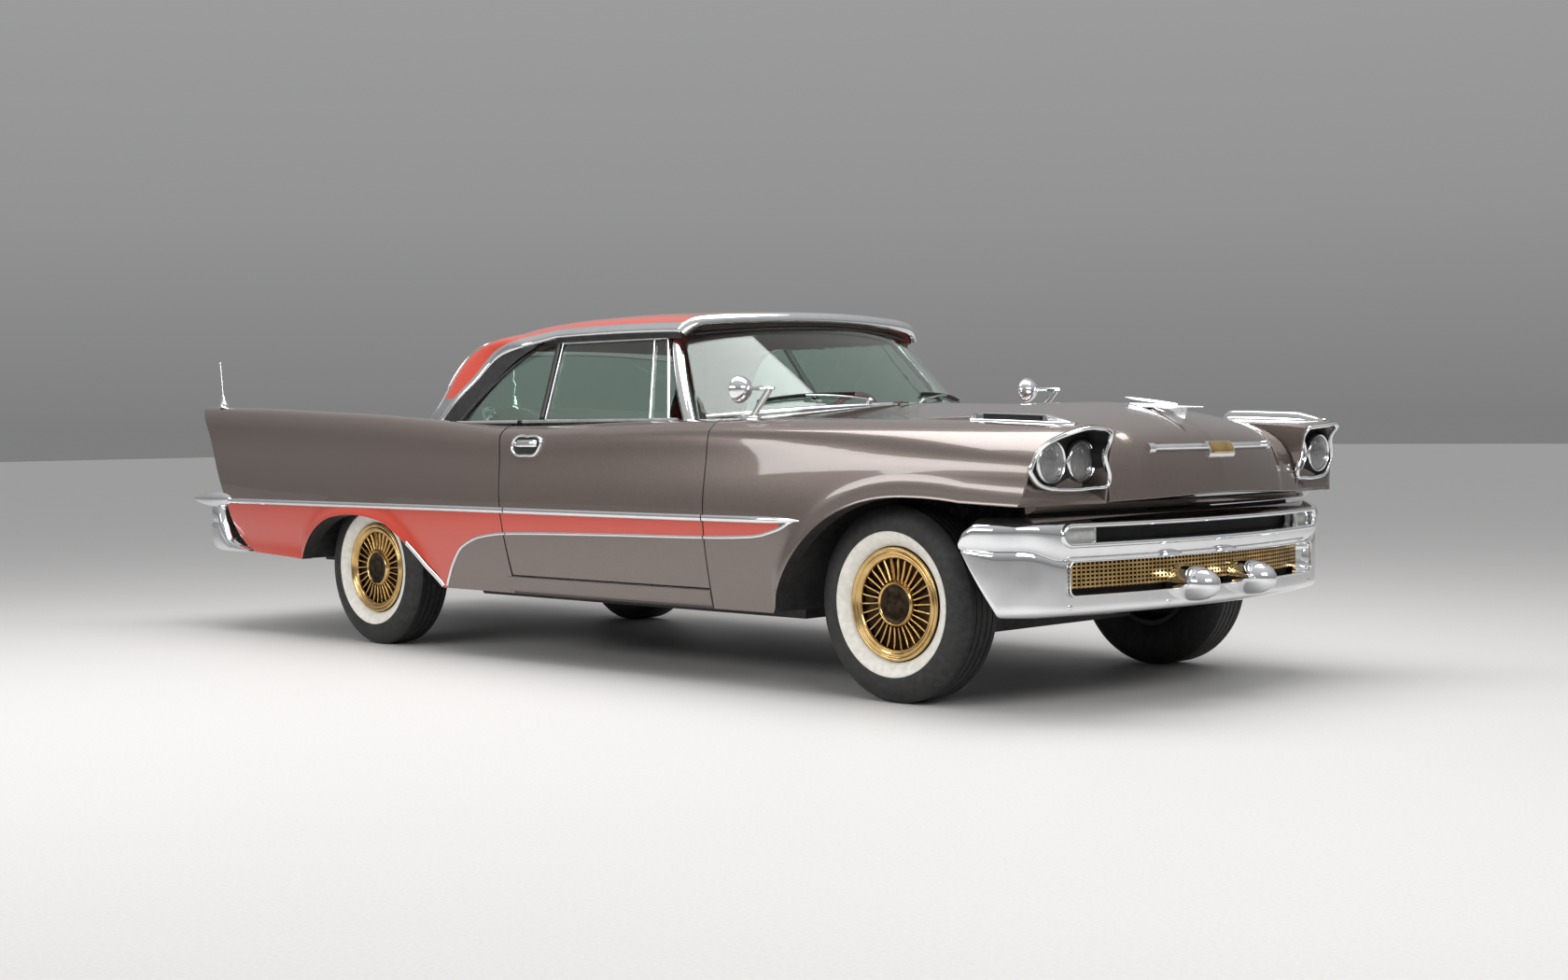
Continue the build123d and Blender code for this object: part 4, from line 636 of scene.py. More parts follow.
def side_panel(name, body, side, xs, shift, edge, house=None, inner=None, tail_loops=None):
    """A closed panel of the body side: outer skin, top, inner wall, and the wheelhouse under it."""
    loops = []
    for x in xs:
        line, far, crest = section(x)
        low = edge(x)
        slope = (edge(x + 0.004) - edge(x - 0.004)) / 0.008
        sweep = low + LEAST_LOW
        if x > SWEEP_FOOT:
            sweep = LINE_Z - LEAST_MID if x > SWEEP_TIP else min(max(float(SWEEP(x)), sweep), LINE_Z - LEAST_MID)
        cut = max(LINE_Z, low + LEAST_BOTH)
        sweep = min(sweep, cut - LEAST_MID) if low < LINE_Z - LEAST_BOTH else mix(low, cut, 0.5)
        places = [float(np.interp(z, line[:crest, 1], far[:crest])) for z in (low, sweep, cut)]
        if inner:
            end = float(np.interp(-inner, -line[crest:, 0], far[crest:]))
        else:
            end = far[-1]
        bend = far[crest]
        before, past = bend - 0.02, min(bend + 0.10, mix(bend, end, 0.6))
        run = np.concatenate((
            np.linspace(places[0], places[1], LOW_CELLS, endpoint=False),
            np.linspace(places[1], places[2], MID_CELLS, endpoint=False),
            np.linspace(places[2], before, UP_CELLS - CREST_CELLS - TOP_CELLS, endpoint=False),
            np.linspace(before, past, CREST_CELLS, endpoint=False),
            np.linspace(past, end, TOP_CELLS),
        ))
        outer = [tuple(p) for p in on_line(line, far, run)]
        # The arch's lip flares out and fades up the flank
        if house and low > SILL_Z + 0.004:
            reach = math.sqrt(1 + slope * slope) * LIP_REACH
            flare = LIP_FLARE * ease((low - SILL_Z) / 0.10)
            outer = [(w + flare * math.exp(-(((z - low) / reach) ** 2)) if z < 0.86 else w, z) for w, z in outer]
        inner_w, top_z = inner or outer[-1][0], outer[-1][1]
        ceiling, house_w = low + 0.002, outer[0][0] - WALL_THICK
        if house:
            middle, radius, wide = HOUSES[house]
            house_w = min(house_w, wide)
            gap = abs(x - middle)
            if gap < radius:
                ceiling = max(ceiling, HUB_Z + math.sqrt(radius * radius - gap * gap))
        ceiling = min(ceiling, top_z - WALL_THICK)
        wall = [(inner_w, mix(top_z, ceiling, t)) for t in (0.34, 0.67, 1.0)]
        roof = [(mix(inner_w, house_w, t), ceiling) for t in (0.33, 0.67, 1.0)]
        drop = [(house_w, mix(ceiling, low, t)) for t in (0.5, 1.0)]
        ring = outer + wall + roof + drop
        loops.append([(x + shift(x, w, z), side * w, z) for w, z in ring])
    if tail_loops:
        loops += tail_loops(loops[-1])
    spread = list(xs) + [xs[-1]] * (len(loops) - len(xs))
    bands, skin = LOW_CELLS + MID_CELLS, LOW_CELLS + MID_CELLS + UP_CELLS
    picks = []
    for i in range(len(loops) - 1):
        mid_x = (spread[i] + spread[i + 1]) / 2
        for j in range(len(loops[0])):
            coral = j < bands and coral_side(mid_x, j >= LOW_CELLS)
            hidden = j >= skin + 2 and house and i < len(xs) - 1
            picks.append(1 if coral else 2 if hidden else 0)
    picks += [0, 0]
    return piece(name, tube(loops), body, SIDE_MATS, picks, crease=38, round_off=0.0035)


def columns(*spans):
    """Places along the car: start, end and step of each span, without doubles."""
    xs = []
    for start, end, step in spans:
        n = max(2, int(round(abs(end - start) / step)) + 1)
        for x in np.linspace(start, end, n):
            if not xs or abs(x - xs[-1]) > 1e-6:
                xs.append(float(x))
    return xs


NOSE_X, TAIL_X, SHUT_LEAN = fx(716), rx(-1232), 0.035
FENDER_XS = columns((fx(-830), fx(-515), 0.045), (fx(-515), fx(-380), 0.014), (fx(-380), fx(420), 0.025),
                    (fx(420), NOSE_X, 0.028))
DOOR_XS = columns((DOOR_FRONT_X, DOOR_REAR_X - SHUT_LEAN + GAP, 0.045))
QUARTER_XS = columns((DOOR_REAR_X - SHUT_LEAN, fx(-2360), 0.035), (fx(-2360), rx(640), 0.012),
                     (rx(640), rx(300), 0.016), (rx(300), rx(-300), 0.030), (rx(-300), rx(-440), 0.012),
                     (rx(-440), TAIL_X, 0.040))


def shut_shift(z):
    """How far the slanted rear edge of the door lies from its middle at a height."""
    return SHUT_LEAN - 2 * SHUT_LEAN * min(max((z - 0.372) / 0.628, 0), 1)


def fender_shift(x, w, z):
    """How far the fender's nose leans from its middle."""
    return lamp_shift(w, z) * ease((x - fx(330)) / (NOSE_X - fx(330)))


def door_shift(x, w, z):
    """How far the door's rear edge leans from its middle, with its jamb."""
    share = ease((DOOR_FRONT_X - 0.6 - x) / (DOOR_FRONT_X - 0.6 - DOOR_XS[-1]))
    jamb = 0.105 * (0.992 - w) if w < 0.992 else 0.0
    return (shut_shift(z) + jamb) * share


def quarter_shift(x, w, z):
    """How far the quarter panel's two ends lean from their middles."""
    ahead = max(0.0, 1 - (QUARTER_XS[0] - x) / 0.30)
    behind = max(0.0, (rx(-420) - x) / (rx(-420) - TAIL_X))
    return shut_shift(z) * ease(ahead) + tail_shift(z) * behind


def lamp_recess(loop):
    """The fender's nose turned in round the lamps."""
    out = []
    side = 1 if loop[0][1] > 0 else -1
    for inset, sunk in ((0.012, False), (0.014, True)):
        ring = []
        for x, y, z in loop:
            to = Vector((LAMPS_MID_W - abs(y), LAMP_Z - z))
            to = to.normalized() * min(inset, to.length * 0.5)
            w, h = abs(y) + to.x, z + to.y
            deep = min(LAMP_X - 0.030 + 0.10 * (h - LAMP_Z), x - 0.006)
            ring.append((mix(x, deep, ease((z - 0.752) / 0.02)) if sunk else x, side * w, h))
        out.append(ring)
    return out


for label, side in SIDES:
    panel = side_panel(f"fender_skin_{label}", "body", side, FENDER_XS, fender_shift, front_edge, "front",
                       tail_loops=lamp_recess)
    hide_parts(f"front_fender_{label}")
    panel = side_panel(f"door_skin_{label}", f"door_{label}", side, DOOR_XS, door_shift, door_edge, inner=DOOR_INNER_W)
    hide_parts(f"door_{label}")
    panel = side_panel(f"quarter_skin_{label}", "body", side, QUARTER_XS, quarter_shift, rear_edge, "rear")
    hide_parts(f"quarter_panel_{label}")

# Wheels: whitewall tyres on stepped gold covers with turbine ribs
WALL_OUT = [(0.1785, 0.052), (0.190, 0.060), (0.200, 0.0645), (0.206, 0.068), (0.214, 0.077), (0.226, 0.088),
            (0.240, 0.096), (0.255, 0.1000), (0.258, 0.0985), (0.262, 0.1012), (0.283, 0.1025), (0.305, 0.0985),
            (0.322, 0.091), (0.336, 0.081), (0.344, 0.073), (0.3475, 0.069)]
WALL_IN = [(0.3475, -0.069), (0.344, -0.073), (0.336, -0.081), (0.322, -0.091), (0.290, -0.1015), (0.262, -0.1015),
           (0.240, -0.097), (0.206, -0.088), (0.193, -0.080), (0.1785, -0.080)]
RIBS_AT = [0.066, 0.046, 0.040, 0.018, 0.012, -0.012, -0.018, -0.040, -0.046, -0.066]
TYRE_TOP, GROOVE = 0.350, 0.0065
TREAD = []
for k in range(0, len(RIBS_AT), 2):
    if k:
        TREAD += [(TYRE_TOP - GROOVE, RIBS_AT[k - 1] - 0.0008), (TYRE_TOP - GROOVE, RIBS_AT[k] + 0.0008)]
    TREAD += [(TYRE_TOP - 0.0006, RIBS_AT[k]), (TYRE_TOP - 0.0006, RIBS_AT[k + 1])]
TYRE_LINE = WALL_OUT + TREAD + WALL_IN
COVER_LINE = [
    (0.190, 0.058), (0.200, 0.070), (0.2025, 0.075), (0.201, 0.080), (0.196, 0.0825), (0.191, 0.0805), (0.1885, 0.077),
    (0.186, 0.0765), (0.1835, 0.0795), (0.180, 0.081), (0.1765, 0.0795), (0.174, 0.0755), (0.1715, 0.0745),
    (0.168, 0.0755), (0.165, 0.0735), (0.162, 0.066), (0.160, 0.052), (0.122, 0.0475), (0.088, 0.051), (0.084, 0.060),
    (0.081, 0.069), (0.078, 0.0755), (0.074, 0.0785), (0.071, 0.0775), (0.069, 0.0725), (0.066, 0.0705),
    (0.036, 0.0700), (0.030, 0.0712), (0.024, 0.0700), (0.0015, 0.0705), (0.0015, 0.046), (0.100, 0.040),
    (0.176, 0.046),
]
RIM_LINE = [(0.1775, 0.052), (0.1775, -0.085), (0.190, -0.088), (0.190, -0.092), (0.172, -0.092), (0.168, -0.080),
            (0.168, 0.020), (0.060, 0.026), (0.060, -0.018), (0.0305, -0.018), (0.0305, 0.040), (0.150, 0.040)]
DARK_BANDS = set(range(15, 19)) | set(range(24, 29))
WHITE_BANDS = range(3, 8)
# columns: radius, outward place, bend along the turn
RIB_LINE = [(0.083, 0.064, 0.0), (0.090, 0.0625, 0.0), (0.105, 0.061, 0.001), (0.122, 0.0605, 0.0025),
            (0.140, 0.061, 0.004), (0.152, 0.0625, 0.005), (0.161, 0.064, 0.0055)]
RIB_COUNT, RIB_LEAN = 30, 0.35
CORNERS = [("front_right", fx(0), -0.7735), ("front_left", fx(0), 0.7735), ("rear_right", rx(0), -0.758),
           ("rear_left", rx(0), 0.758)]
TURN_STEPS = 96


def wheel_ribs(hub, out):
    """The turbine ribs of a wheel cover."""
    ribs = []
    for turn in turns(RIB_COUNT):
        spoke = Vector((math.cos(turn), 0, math.sin(turn)))
        around = Vector((-math.sin(turn), 0, math.cos(turn)))
        lean = Vector((0, out, 0)) + around * RIB_LEAN
        path = [Vector(hub) + spoke * r + Vector((0, out * a, 0)) + around * bend for r, a, bend in RIB_LINE]
        ribs.append(batten(path, lean, 0.0078, 0.0070, sink=0.017, taper=(0.7, 0.6), run=0.012))
    return ribs


for corner, wheel_x, wheel_y in CORNERS:
    out = 1 if wheel_y > 0 else -1
    hub = (wheel_x, wheel_y, HUB_Z)
    wheel_body = f"wheel_{corner}"
    white = [int(j in WHITE_BANDS) for j in range(len(TYRE_LINE))] * TURN_STEPS
    tyre = piece(f"whitewall_tyre_{corner}", lathe(TYRE_LINE, TURN_STEPS, hub, out), wheel_body,
                 [TYRE, WHITEWALL], white, crease=30)
    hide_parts(f"tyre_{corner}")
    dark = [int(j in DARK_BANDS) for j in range(len(COVER_LINE))] * TURN_STEPS
    cover = piece(f"wheel_cover_{corner}", lathe(COVER_LINE, TURN_STEPS, hub, out), wheel_body,
                  [GOLD, BRONZE], dark)
    piece(f"wheel_rim_{corner}", lathe(RIM_LINE, 64, hub, out), wheel_body, [CHASSIS], crease=30)
    trim(f"wheel_ribs_{corner}", wheel_ribs(hub, out), wheel_body, GOLD)
    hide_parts(f"wheel_{corner}")

# Roof shell, from its sections, inside the curved front and rear edges
# columns: x, rail half width, rail z, shoulder half width, shoulder z, crown z (millimetres)
ROOF_SECTIONS = [
    (fx(-1060), 706, 1352, 600, 1404, 1430), (fx(-1400), 704, 1364, 585, 1432, 1460),
    (fx(-1900), 700, 1366, 575, 1436, 1466), (rx(860), 684, 1344, 560, 1410, 1442),
    (rx(430), 664, 1258, 548, 1318, 1352),
]
ROOF_COLUMN = [natural([r[0] for r in ROOF_SECTIONS], [r[k] / 1000 for r in ROOF_SECTIONS]) for k in range(1, 6)]


def roof_spot(x, share):
    """A point of the roof's surface. share runs from -1 at the right rail to 1 at the left one."""
    rail_w, rail_z, shoulder_w, shoulder_z, crown_z = (float(col(x)) for col in ROOF_COLUMN)
    half = [(rail_w, rail_z), ((rail_w + shoulder_w) / 2 + 0.011, (rail_z + shoulder_z) / 2 + 0.012),
            (shoulder_w, shoulder_z)]
    half += [(shoulder_w * t, shoulder_z + (crown_z - shoulder_z) * (1 - t * t)) for t in (0.66, 0.33)]
    return smooth_line([(-w, z) for w, z in half] + [(0, crown_z)] + half[::-1], (share + 1) / 2)


def roof_place(u, share):
    """A point of the roof from its front edge (u 0) to its rear edge (u 1)."""
    bow = (share * 0.70 / 0.73) ** 2
    x = mix(fx(-1130) - 0.146 * bow, rx(470) + 0.130 * bow, u)
    y, z = roof_spot(x, share)
    return Vector((x, y, z))


ROOF_ROWS, ROOF_COLS, ROOF_SKIN = 34, 45, 0.030
HEADLINER = cloth("headliner", (0.30, 0.040, 0.026), (0.40, 0.058, 0.038), 200)
spread = [math.sin(s * math.pi / 2) * 0.35 + s * 0.65 for s in np.linspace(-1, 1, ROOF_COLS)]
upper = [[roof_place(u, s) for s in spread] for u in np.linspace(0, 1, ROOF_ROWS)]
lower = [[Vector((v.x, v.y * 0.972, v.z - ROOF_SKIN)) for v in row] for row in upper]
shell = slab(upper, lower)
count = (ROOF_ROWS - 1) * (ROOF_COLS - 1)
rim = len(shell[1]) - 2 * count
picks = [0] * count + [1] * count
picks += [2 if k < ROOF_COLS + ROOF_ROWS - 2 or k > rim - ROOF_ROWS else 0 for k in range(rim)]
roof = piece("roof_shell", shell, "body", [CORAL, HEADLINER, SEAL], picks, crease=45, round_off=0.006)
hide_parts("roof")

# Rear pillars flow down from the roof, with the side glass's dark frame ahead, a bright rail and the coral band.
# Four lines run up each: the glass frame, the rail, the coral's rear edge and the backlight's edge.
PILLAR_LINES = [
    [(rx(690), 0.846, 1.000), (rx(770), 0.806, 1.112), (rx(848), 0.766, 1.201), (rx(924), 0.735, 1.269),
     (rx(1060), 0.694, 1.350)],
    [(rx(505), 0.838, 1.000), (rx(595), 0.806, 1.113), (rx(695), 0.768, 1.205), (rx(788), 0.737, 1.296),
     (rx(1000), 0.697, 1.366)],
    [(rx(345), 0.782, 1.000), (rx(448), 0.764, 1.118), (rx(500), 0.742, 1.210), (rx(570), 0.708, 1.300),
     (rx(757), 0.655, 1.376)],
    [(rx(312), 0.692, 1.000), (rx(409), 0.646, 1.115), (rx(490), 0.608, 1.211), (rx(562), 0.574, 1.297),
     (rx(620), 0.554, 1.338)],
]
# columns: x, share of the roof's width where each line ends
PILLAR_ON_ROOF = [(rx(1090), 0.90), (rx(1015), 0.88), (rx(800), 0.82), (rx(670), 0.78)]
PILLAR_ROWS, PILLAR_CELLS, FILLER_TOP, PILLAR_SKIN = 30, (6, 9, 8), 1.112, 0.022
FRAME_END, CORAL_END = PILLAR_CELLS[0], PILLAR_CELLS[0] + PILLAR_CELLS[1]
PILLAR_TRIM_ROWS = PILLAR_ROWS - 7
RAIL_SHARE, RAIL_WIDE, RAIL_TOP_ROW = 0.966, 0.050, 24


def pillar_grid(side):
    """The pillar's outer points in rows up from its foot, and their outward directions."""
    lines = []
    for points, (x, share) in zip(PILLAR_LINES, PILLAR_ON_ROOF):
        y, z = roof_spot(x, share)
        lines.append(through(points + [(x, y, z - 0.004)], PILLAR_ROWS))
    outer, outs = [], []
    for four in zip(*lines):
        reach = np.cumsum([0] + [(b - a).length for a, b in zip(four, four[1:])])
        shares = [np.linspace(reach[k], reach[k + 1], n, endpoint=k == 2) / reach[-1]
                  for k, n in enumerate(PILLAR_CELLS)]
        outer.append([Vector((p.x, side * p.y, p.z)) for p in along_curve(four, np.concatenate(shares))])
    for i, row in enumerate(outer):
        last = len(row) - 1
        up = [b - a for a, b in zip(outer[max(i - 1, 0)], outer[min(i + 1, PILLAR_ROWS - 1)])]
        outs.append([(row[min(j + 1, last)] - row[max(j - 1, 0)]).cross(up[j]).normalized() * side
                     for j in range(last + 1)])
    return outer, outs


for label, side in SIDES:
    outer, outs = pillar_grid(side)
    cols = len(outer[0])
    inner = [[v - out * PILLAR_SKIN for v, out in zip(row, out_row)] for row, out_row in zip(outer, outs)]
    shell = slab(outer, inner)
    picks = []
    for row in outer[:-1]:
        for j in range(cols - 1):
            filler = FRAME_END <= j < CORAL_END and row[j].z < FILLER_TOP
            picks.append(2 if j < FRAME_END else 1 if filler else 0)
    picks += [3] * len(picks) + [2] * (len(shell[1]) - 2 * len(picks))
    pillar = piece(f"rear_pillar_{label}", shell, "body", [CORAL, SATIN, SEAL, HEADLINER], picks,
                   crease=45)
    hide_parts("roof")
    edges = []
    for j, wide in ((CORAL_END, 0.016), (cols - 1, 0.018)):
        spots = [(outer[i][j], outs[i][j]) for i in range(PILLAR_TRIM_ROWS)]
        edges.append(ribbon(spots, wide, 0.009, sink=0.006, taper=(1.0, 0.3)))
    trim(f"pillar_trim_{label}", edges)
    xs = columns((fx(-1262), rx(1150), 0.05))
    fall = range(RAIL_TOP_ROW, -1, -1)
    rail = []
    for x in xs:
        y, z = roof_spot(x, RAIL_SHARE)
        rail.append((Vector((x, side * y, z)), (0, side * 0.69, 0.72)))
    rail += [(outer[i][FRAME_END], outs[i][FRAME_END]) for i in fall]
    sizes = [1.0] * len(xs) + [mix(0.55, 0.90, i / RAIL_TOP_ROW) for i in fall]
    trim(f"roof_rail_{label}", [ribbon(rail, RAIL_WIDE, 0.010, sink=0.008, sizes=sizes)])

# Front pillars are bright covers round the windshield's corners
# columns: x, half width of the four corners at the foot and at the head
POST_FOOT = [(fx(-1062), 0.816), (fx(-1120), 0.826), (fx(-1124), 0.786), (fx(-1072), 0.774)]
POST_HEAD = [(fx(-1322), 0.640), (fx(-1382), 0.650), (fx(-1386), 0.606), (fx(-1332), 0.596)]
POST_FOOT_Z, POST_HEAD_Z, POST_BOW, POST_ROUND = 0.992, 1.372, 0.014, 0.10
for label, side in SIDES:
    loops = []
    for k in np.linspace(0, 1, 14):
        ring = []
        bow = POST_BOW * k * (1 - k) * 4
        corners = [(mix(f[0], h[0], k), mix(f[1], h[1], k) + bow) for f, h in zip(POST_FOOT, POST_HEAD)]
        mid_x, mid_w = (sum(p[c] for p in corners) / 4 for c in range(2))
        for c, spot in enumerate(corners):
            before, after = corners[c - 1], corners[(c + 1) % 4]
            for toward, far, pull in ((before, 0.30, 0), (before, 0.10, POST_ROUND), (after, 0.10, POST_ROUND),
                                      (after, 0.30, 0)):
                x = mix(spot[0], toward[0], far) + pull * (mid_x - spot[0])
                w = mix(spot[1], toward[1], far) + pull * (mid_w - spot[1])
                ring.append(Vector((x, side * w, mix(POST_FOOT_Z, POST_HEAD_Z, k))))
        loops.append(ring)
    trim(f"windshield_post_{label}", [tube(loops)])

# Hood and trunk lid, from their side profiles across the car
HOOD_REAR_X, HOOD_HALF = fx(-560), 0.584
# columns: y, rear z, brow x, brow z, face x, face z, lip x, lip z
HOOD_PROFILES = [(HOOD_HALF, 1.002, fx(470), 0.990, fx(690), 0.880, fx(742), 0.714),
                 (0.300, 1.042, fx(520), 1.012, fx(728), 0.905, fx(786), 0.722),
                 (0.000, 1.066, fx(540), 1.026, fx(742), 0.915, fx(806), 0.730)]
LID_FRONT_X, LID_HALF = rx(-14), 0.698
# columns: y, front z, ridge x, ridge z, lip x, lip z
LID_PROFILES = [(LID_HALF, 0.990, rx(-960), 0.868, rx(-1096), 0.668),
                (0.350, 1.004, rx(-1000), 0.888, rx(-1130), 0.676),
                (0.000, 1.012, rx(-1012), 0.896, rx(-1140), 0.680)]


def across(rows):
    """Splines over the width of the car for each column of a table of profiles."""
    ys = [-r[0] for r in rows] + [r[0] for r in rows[-2::-1]]
    return [natural(ys, [r[k] for r in rows] + [r[k] for r in rows[-2::-1]]) for k in range(1, len(rows[0]))]


HOOD_COLUMN, LID_COLUMN = across(HOOD_PROFILES), across(LID_PROFILES)
HOOD_BULGE, HOOD_CREASE, LID_STEPS = 0.010, 0.004, 40


def hood_line(y, count=46):
    """The hood's outer line at y, from its rear edge over the brow to the lip."""
    rear_z, brow_x, brow_z, face_x, face_z, lip_x, lip_z = (float(col(y)) for col in HOOD_COLUMN)
    pts = through([(HOOD_REAR_X, 0, rear_z), (mix(HOOD_REAR_X, brow_x, 0.5), 0, (rear_z + brow_z) / 2 + 0.008),
                   (brow_x, 0, brow_z - 0.008), (face_x, 0, face_z), (lip_x, 0, lip_z)], count)
    line = []
    for p in pts:
        # A raised middle widens from the ornament down to the lip, with a crease along its crown
        run = ease((p.x - fx(150)) / 0.55)
        edge = mix(0.10, 0.44, run)
        bulge = HOOD_BULGE * ease((p.x - fx(60)) / 0.45) * (1 - ease((abs(y) - edge + 0.035) / 0.05))
        crease = HOOD_CREASE * math.exp(-abs(y) / 0.035) * ease((p.x + 0.9 - fx(0)) / 0.5)
        low = ease((0.86 - p.z) / 0.16)
        ahead = (bulge + crease) * ease((1.0 - p.z) / 0.08)
        line.append(Vector((p.x + ahead * (1 - 0.5 * low), y, p.z + (bulge + crease) * 0.3 * (1 - low))))
    return line


def lid_line(y):
    """The trunk lid's outer line at y, from its front edge over the ridge to the lip."""
    front_z, ridge_x, ridge_z, lip_x, lip_z = (float(col(y)) for col in LID_COLUMN)
    pts = through([(LID_FRONT_X, 0, front_z), (mix(LID_FRONT_X, ridge_x, 0.5), 0, (front_z + ridge_z) / 2 + 0.018),
                   (ridge_x, 0, ridge_z), ((ridge_x + lip_x) / 2 - 0.034, 0, (ridge_z + lip_z) / 2 + 0.026),
                   (lip_x, 0, lip_z)], LID_STEPS)
    return [Vector((p.x, y, p.z)) for p in pts]


def inward(line, thick):
    """A profile's line moved to its inner side."""
    moved = []
    for i, p in enumerate(line):
        along = (line[min(i + 1, len(line) - 1)] - line[max(i - 1, 0)]).normalized()
        out = Vector((-along.z, 0, along.x))
        out = out if out.z > 0 or abs(out.z) < 0.2 and out.x * line[-1].x > 0 else -out
        moved.append(p - out * thick)
    return moved


for name, half, line_of, node_name in (("hood_skin", HOOD_HALF, hood_line, "hood"),
                                       ("trunk_skin", LID_HALF, lid_line, "trunk_lid")):
    upper = [line_of(y) for y in np.linspace(-half, half, 65)]
    lower = [inward(line, 0.020) for line in upper]
    skin = piece(name, slab(upper, lower), node_name, [TAUPE], crease=38, round_off=0.004)
    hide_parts(node_name)

# Aprons fill the wedges between the fenders' inner edges and the straight sides of hood and trunk lid
VALLEY_Z, VALLEY_W = COLUMN[2], COLUMN[3]
for label, side in SIDES:
    for name, half, start, end in (("hood_apron", HOOD_HALF, HOOD_REAR_X - 0.010, fx(420)),
                                   ("trunk_apron", LID_HALF, LID_FRONT_X + 0.010, rx(-400))):
        upper = []
        for x in columns((start, end, 0.025)):
            ends = (half + GAP, max(float(VALLEY_W(x)) + 0.004, half + GAP + 0.004))
            upper.append([Vector((x, side * mix(*ends, t), float(VALLEY_Z(x)) - 0.0015)) for t in (0, 0.5, 1)])
        piece(f"{name}_{label}", plate(upper, (0, 0, -0.014)), "body", [TAUPE], crease=38)

# Side mouldings: a thick bright one along the waist, a thin one under the sweep
MOULD_TIP, MOULD_TAIL = fx(-329), rx(-1090)
# scales of the rear and front end of the upper and the lower moulding
MOULD_ENDS = {"fender": ((1.0, 0.12), (1.0, 0.3)), "door": ((1.0, 1.0), (1.0, 1.0)),
              "quarter": ((0.5, 1.0), (1.0, 1.0))}
for label, side in SIDES:
    spans = [("fender", "body", DOOR_FRONT_X + GAP, MOULD_TIP),
             ("door", f"door_{label}", DOOR_REAR_X + 0.008, DOOR_FRONT_X),
             ("quarter", "body", MOULD_TAIL, DOOR_REAR_X + 0.001)]
    for part, body, start, end in spans:
        upper_ends, lower_ends = MOULD_ENDS[part]
        upper_line = [side_spot(x, LINE_Z + 0.004 + 0.004 * ease((fx(-700) - x) / 2), side)
                      for x in columns((start, end, 0.05))]
        low_start = max(start, SWEEP_FOOT + 0.006)
        low_end = min(end, SWEEP_TIP + 0.075)
        xs = columns((low_start, min(low_start + 0.36, low_end), 0.010 if part == "quarter" else 0.05))
        if low_end > xs[-1]:
            xs = xs[:-1] + columns((xs[-1], low_end, 0.03))
        lower_line = []
        for x in xs:
            z = float(SWEEP(min(x, SWEEP_TIP))) + 0.030 * ease((x - SWEEP_TIP + 0.01) / 0.085)
            lower_line.append(side_spot(x, z, side))
        trim(f"side_moulding_{part}_{label}", [ribbon(upper_line, 0.026, 0.011, taper=upper_ends, run=0.16),
                                               ribbon(lower_line, 0.013, 0.007, taper=lower_ends)], body)


# Front bumper: one rolled sheet along its plan, sunk for the upper oval and the grille, with painted shade: the sunk
# faces are near-black
def plan_line(end, bend, corner, middle_x, counts):
    """A bumper's line in plan, from its right end round the corners to its left end."""
    wrap = arc_points(end, bend, corner, counts[0])
    face = arc_points(corner, (middle_x, 0), (corner[0], -corner[1]), counts[1])
    return wrap[:-1] + face + [(x, -y) for x, y in wrap[-2::-1]]


BUMPER_PLAN = plan_line((fx(409), -0.985), (fx(610), -0.930), (fx(690), -0.790), fx(800), (40, 181))
BUMPER_TOP, BUMPER_FOOT = 0.668, 0.332
OVAL_Z, OVAL_HALF_HIGH, OVAL_HALF = 0.606, 0.033, 0.780
GRILLE_LOW, GRILLE_TOP, GRILLE_HALF, SINK = 0.404, 0.519, 0.752, 0.080


def plan_normal(plan, i):
    """Outward direction across a plan line at one of its points."""
    a, b = plan[max(i - 1, 0)], plan[min(i + 1, len(plan) - 1)]
    run = Vector((b[0] - a[0], b[1] - a[1])).normalized()
    return Vector((run.y, -run.x))


def bumper_crease(y):
    """Height of the crease along the bumper."""
    return mix(0.521, 0.557, ease((abs(y) - 0.76) / 0.16))


def bumper_reach(x):
    """Lowest and highest z of the bumper at x: its ends are cut to a point."""
    low = look_up(x, [(fx(409), 0.556), (fx(552), BUMPER_FOOT)])
    high = look_up(x, [(fx(409), 0.600), (fx(424), 0.640), (fx(470), BUMPER_TOP)])
    return low, high


def rounded_gap(y, z, half, low, high, radius):
    """Distance outside a rounded window, negative inside it."""
    mid, tall = (low + high) / 2, (high - low) / 2
    dy, dz = abs(y) - half + radius, abs(z - mid) - tall + radius
    return math.hypot(max(dy, 0), max(dz, 0)) + min(max(dy, dz), 0) - radius


UP_SHARES = [0, 0.03, 0.07, 0.12, 0.18, 0.24, 0.30, 0.335, 0.36, 0.385, 0.44, 0.52, 0.60, 0.68, 0.74, 0.775, 0.80,
             0.825, 0.86, 0.90, 0.94, 0.97, 0.99, 1.0]
DOWN_SHARES = [0.015, 0.03, 0.06, 0.09, 0.14, 0.20, 0.28, 0.36, 0.44, 0.52, 0.57, 0.60, 0.62, 0.64, 0.67, 0.72, 0.78,
               0.84, 0.90, 0.95, 0.98, 1.0]
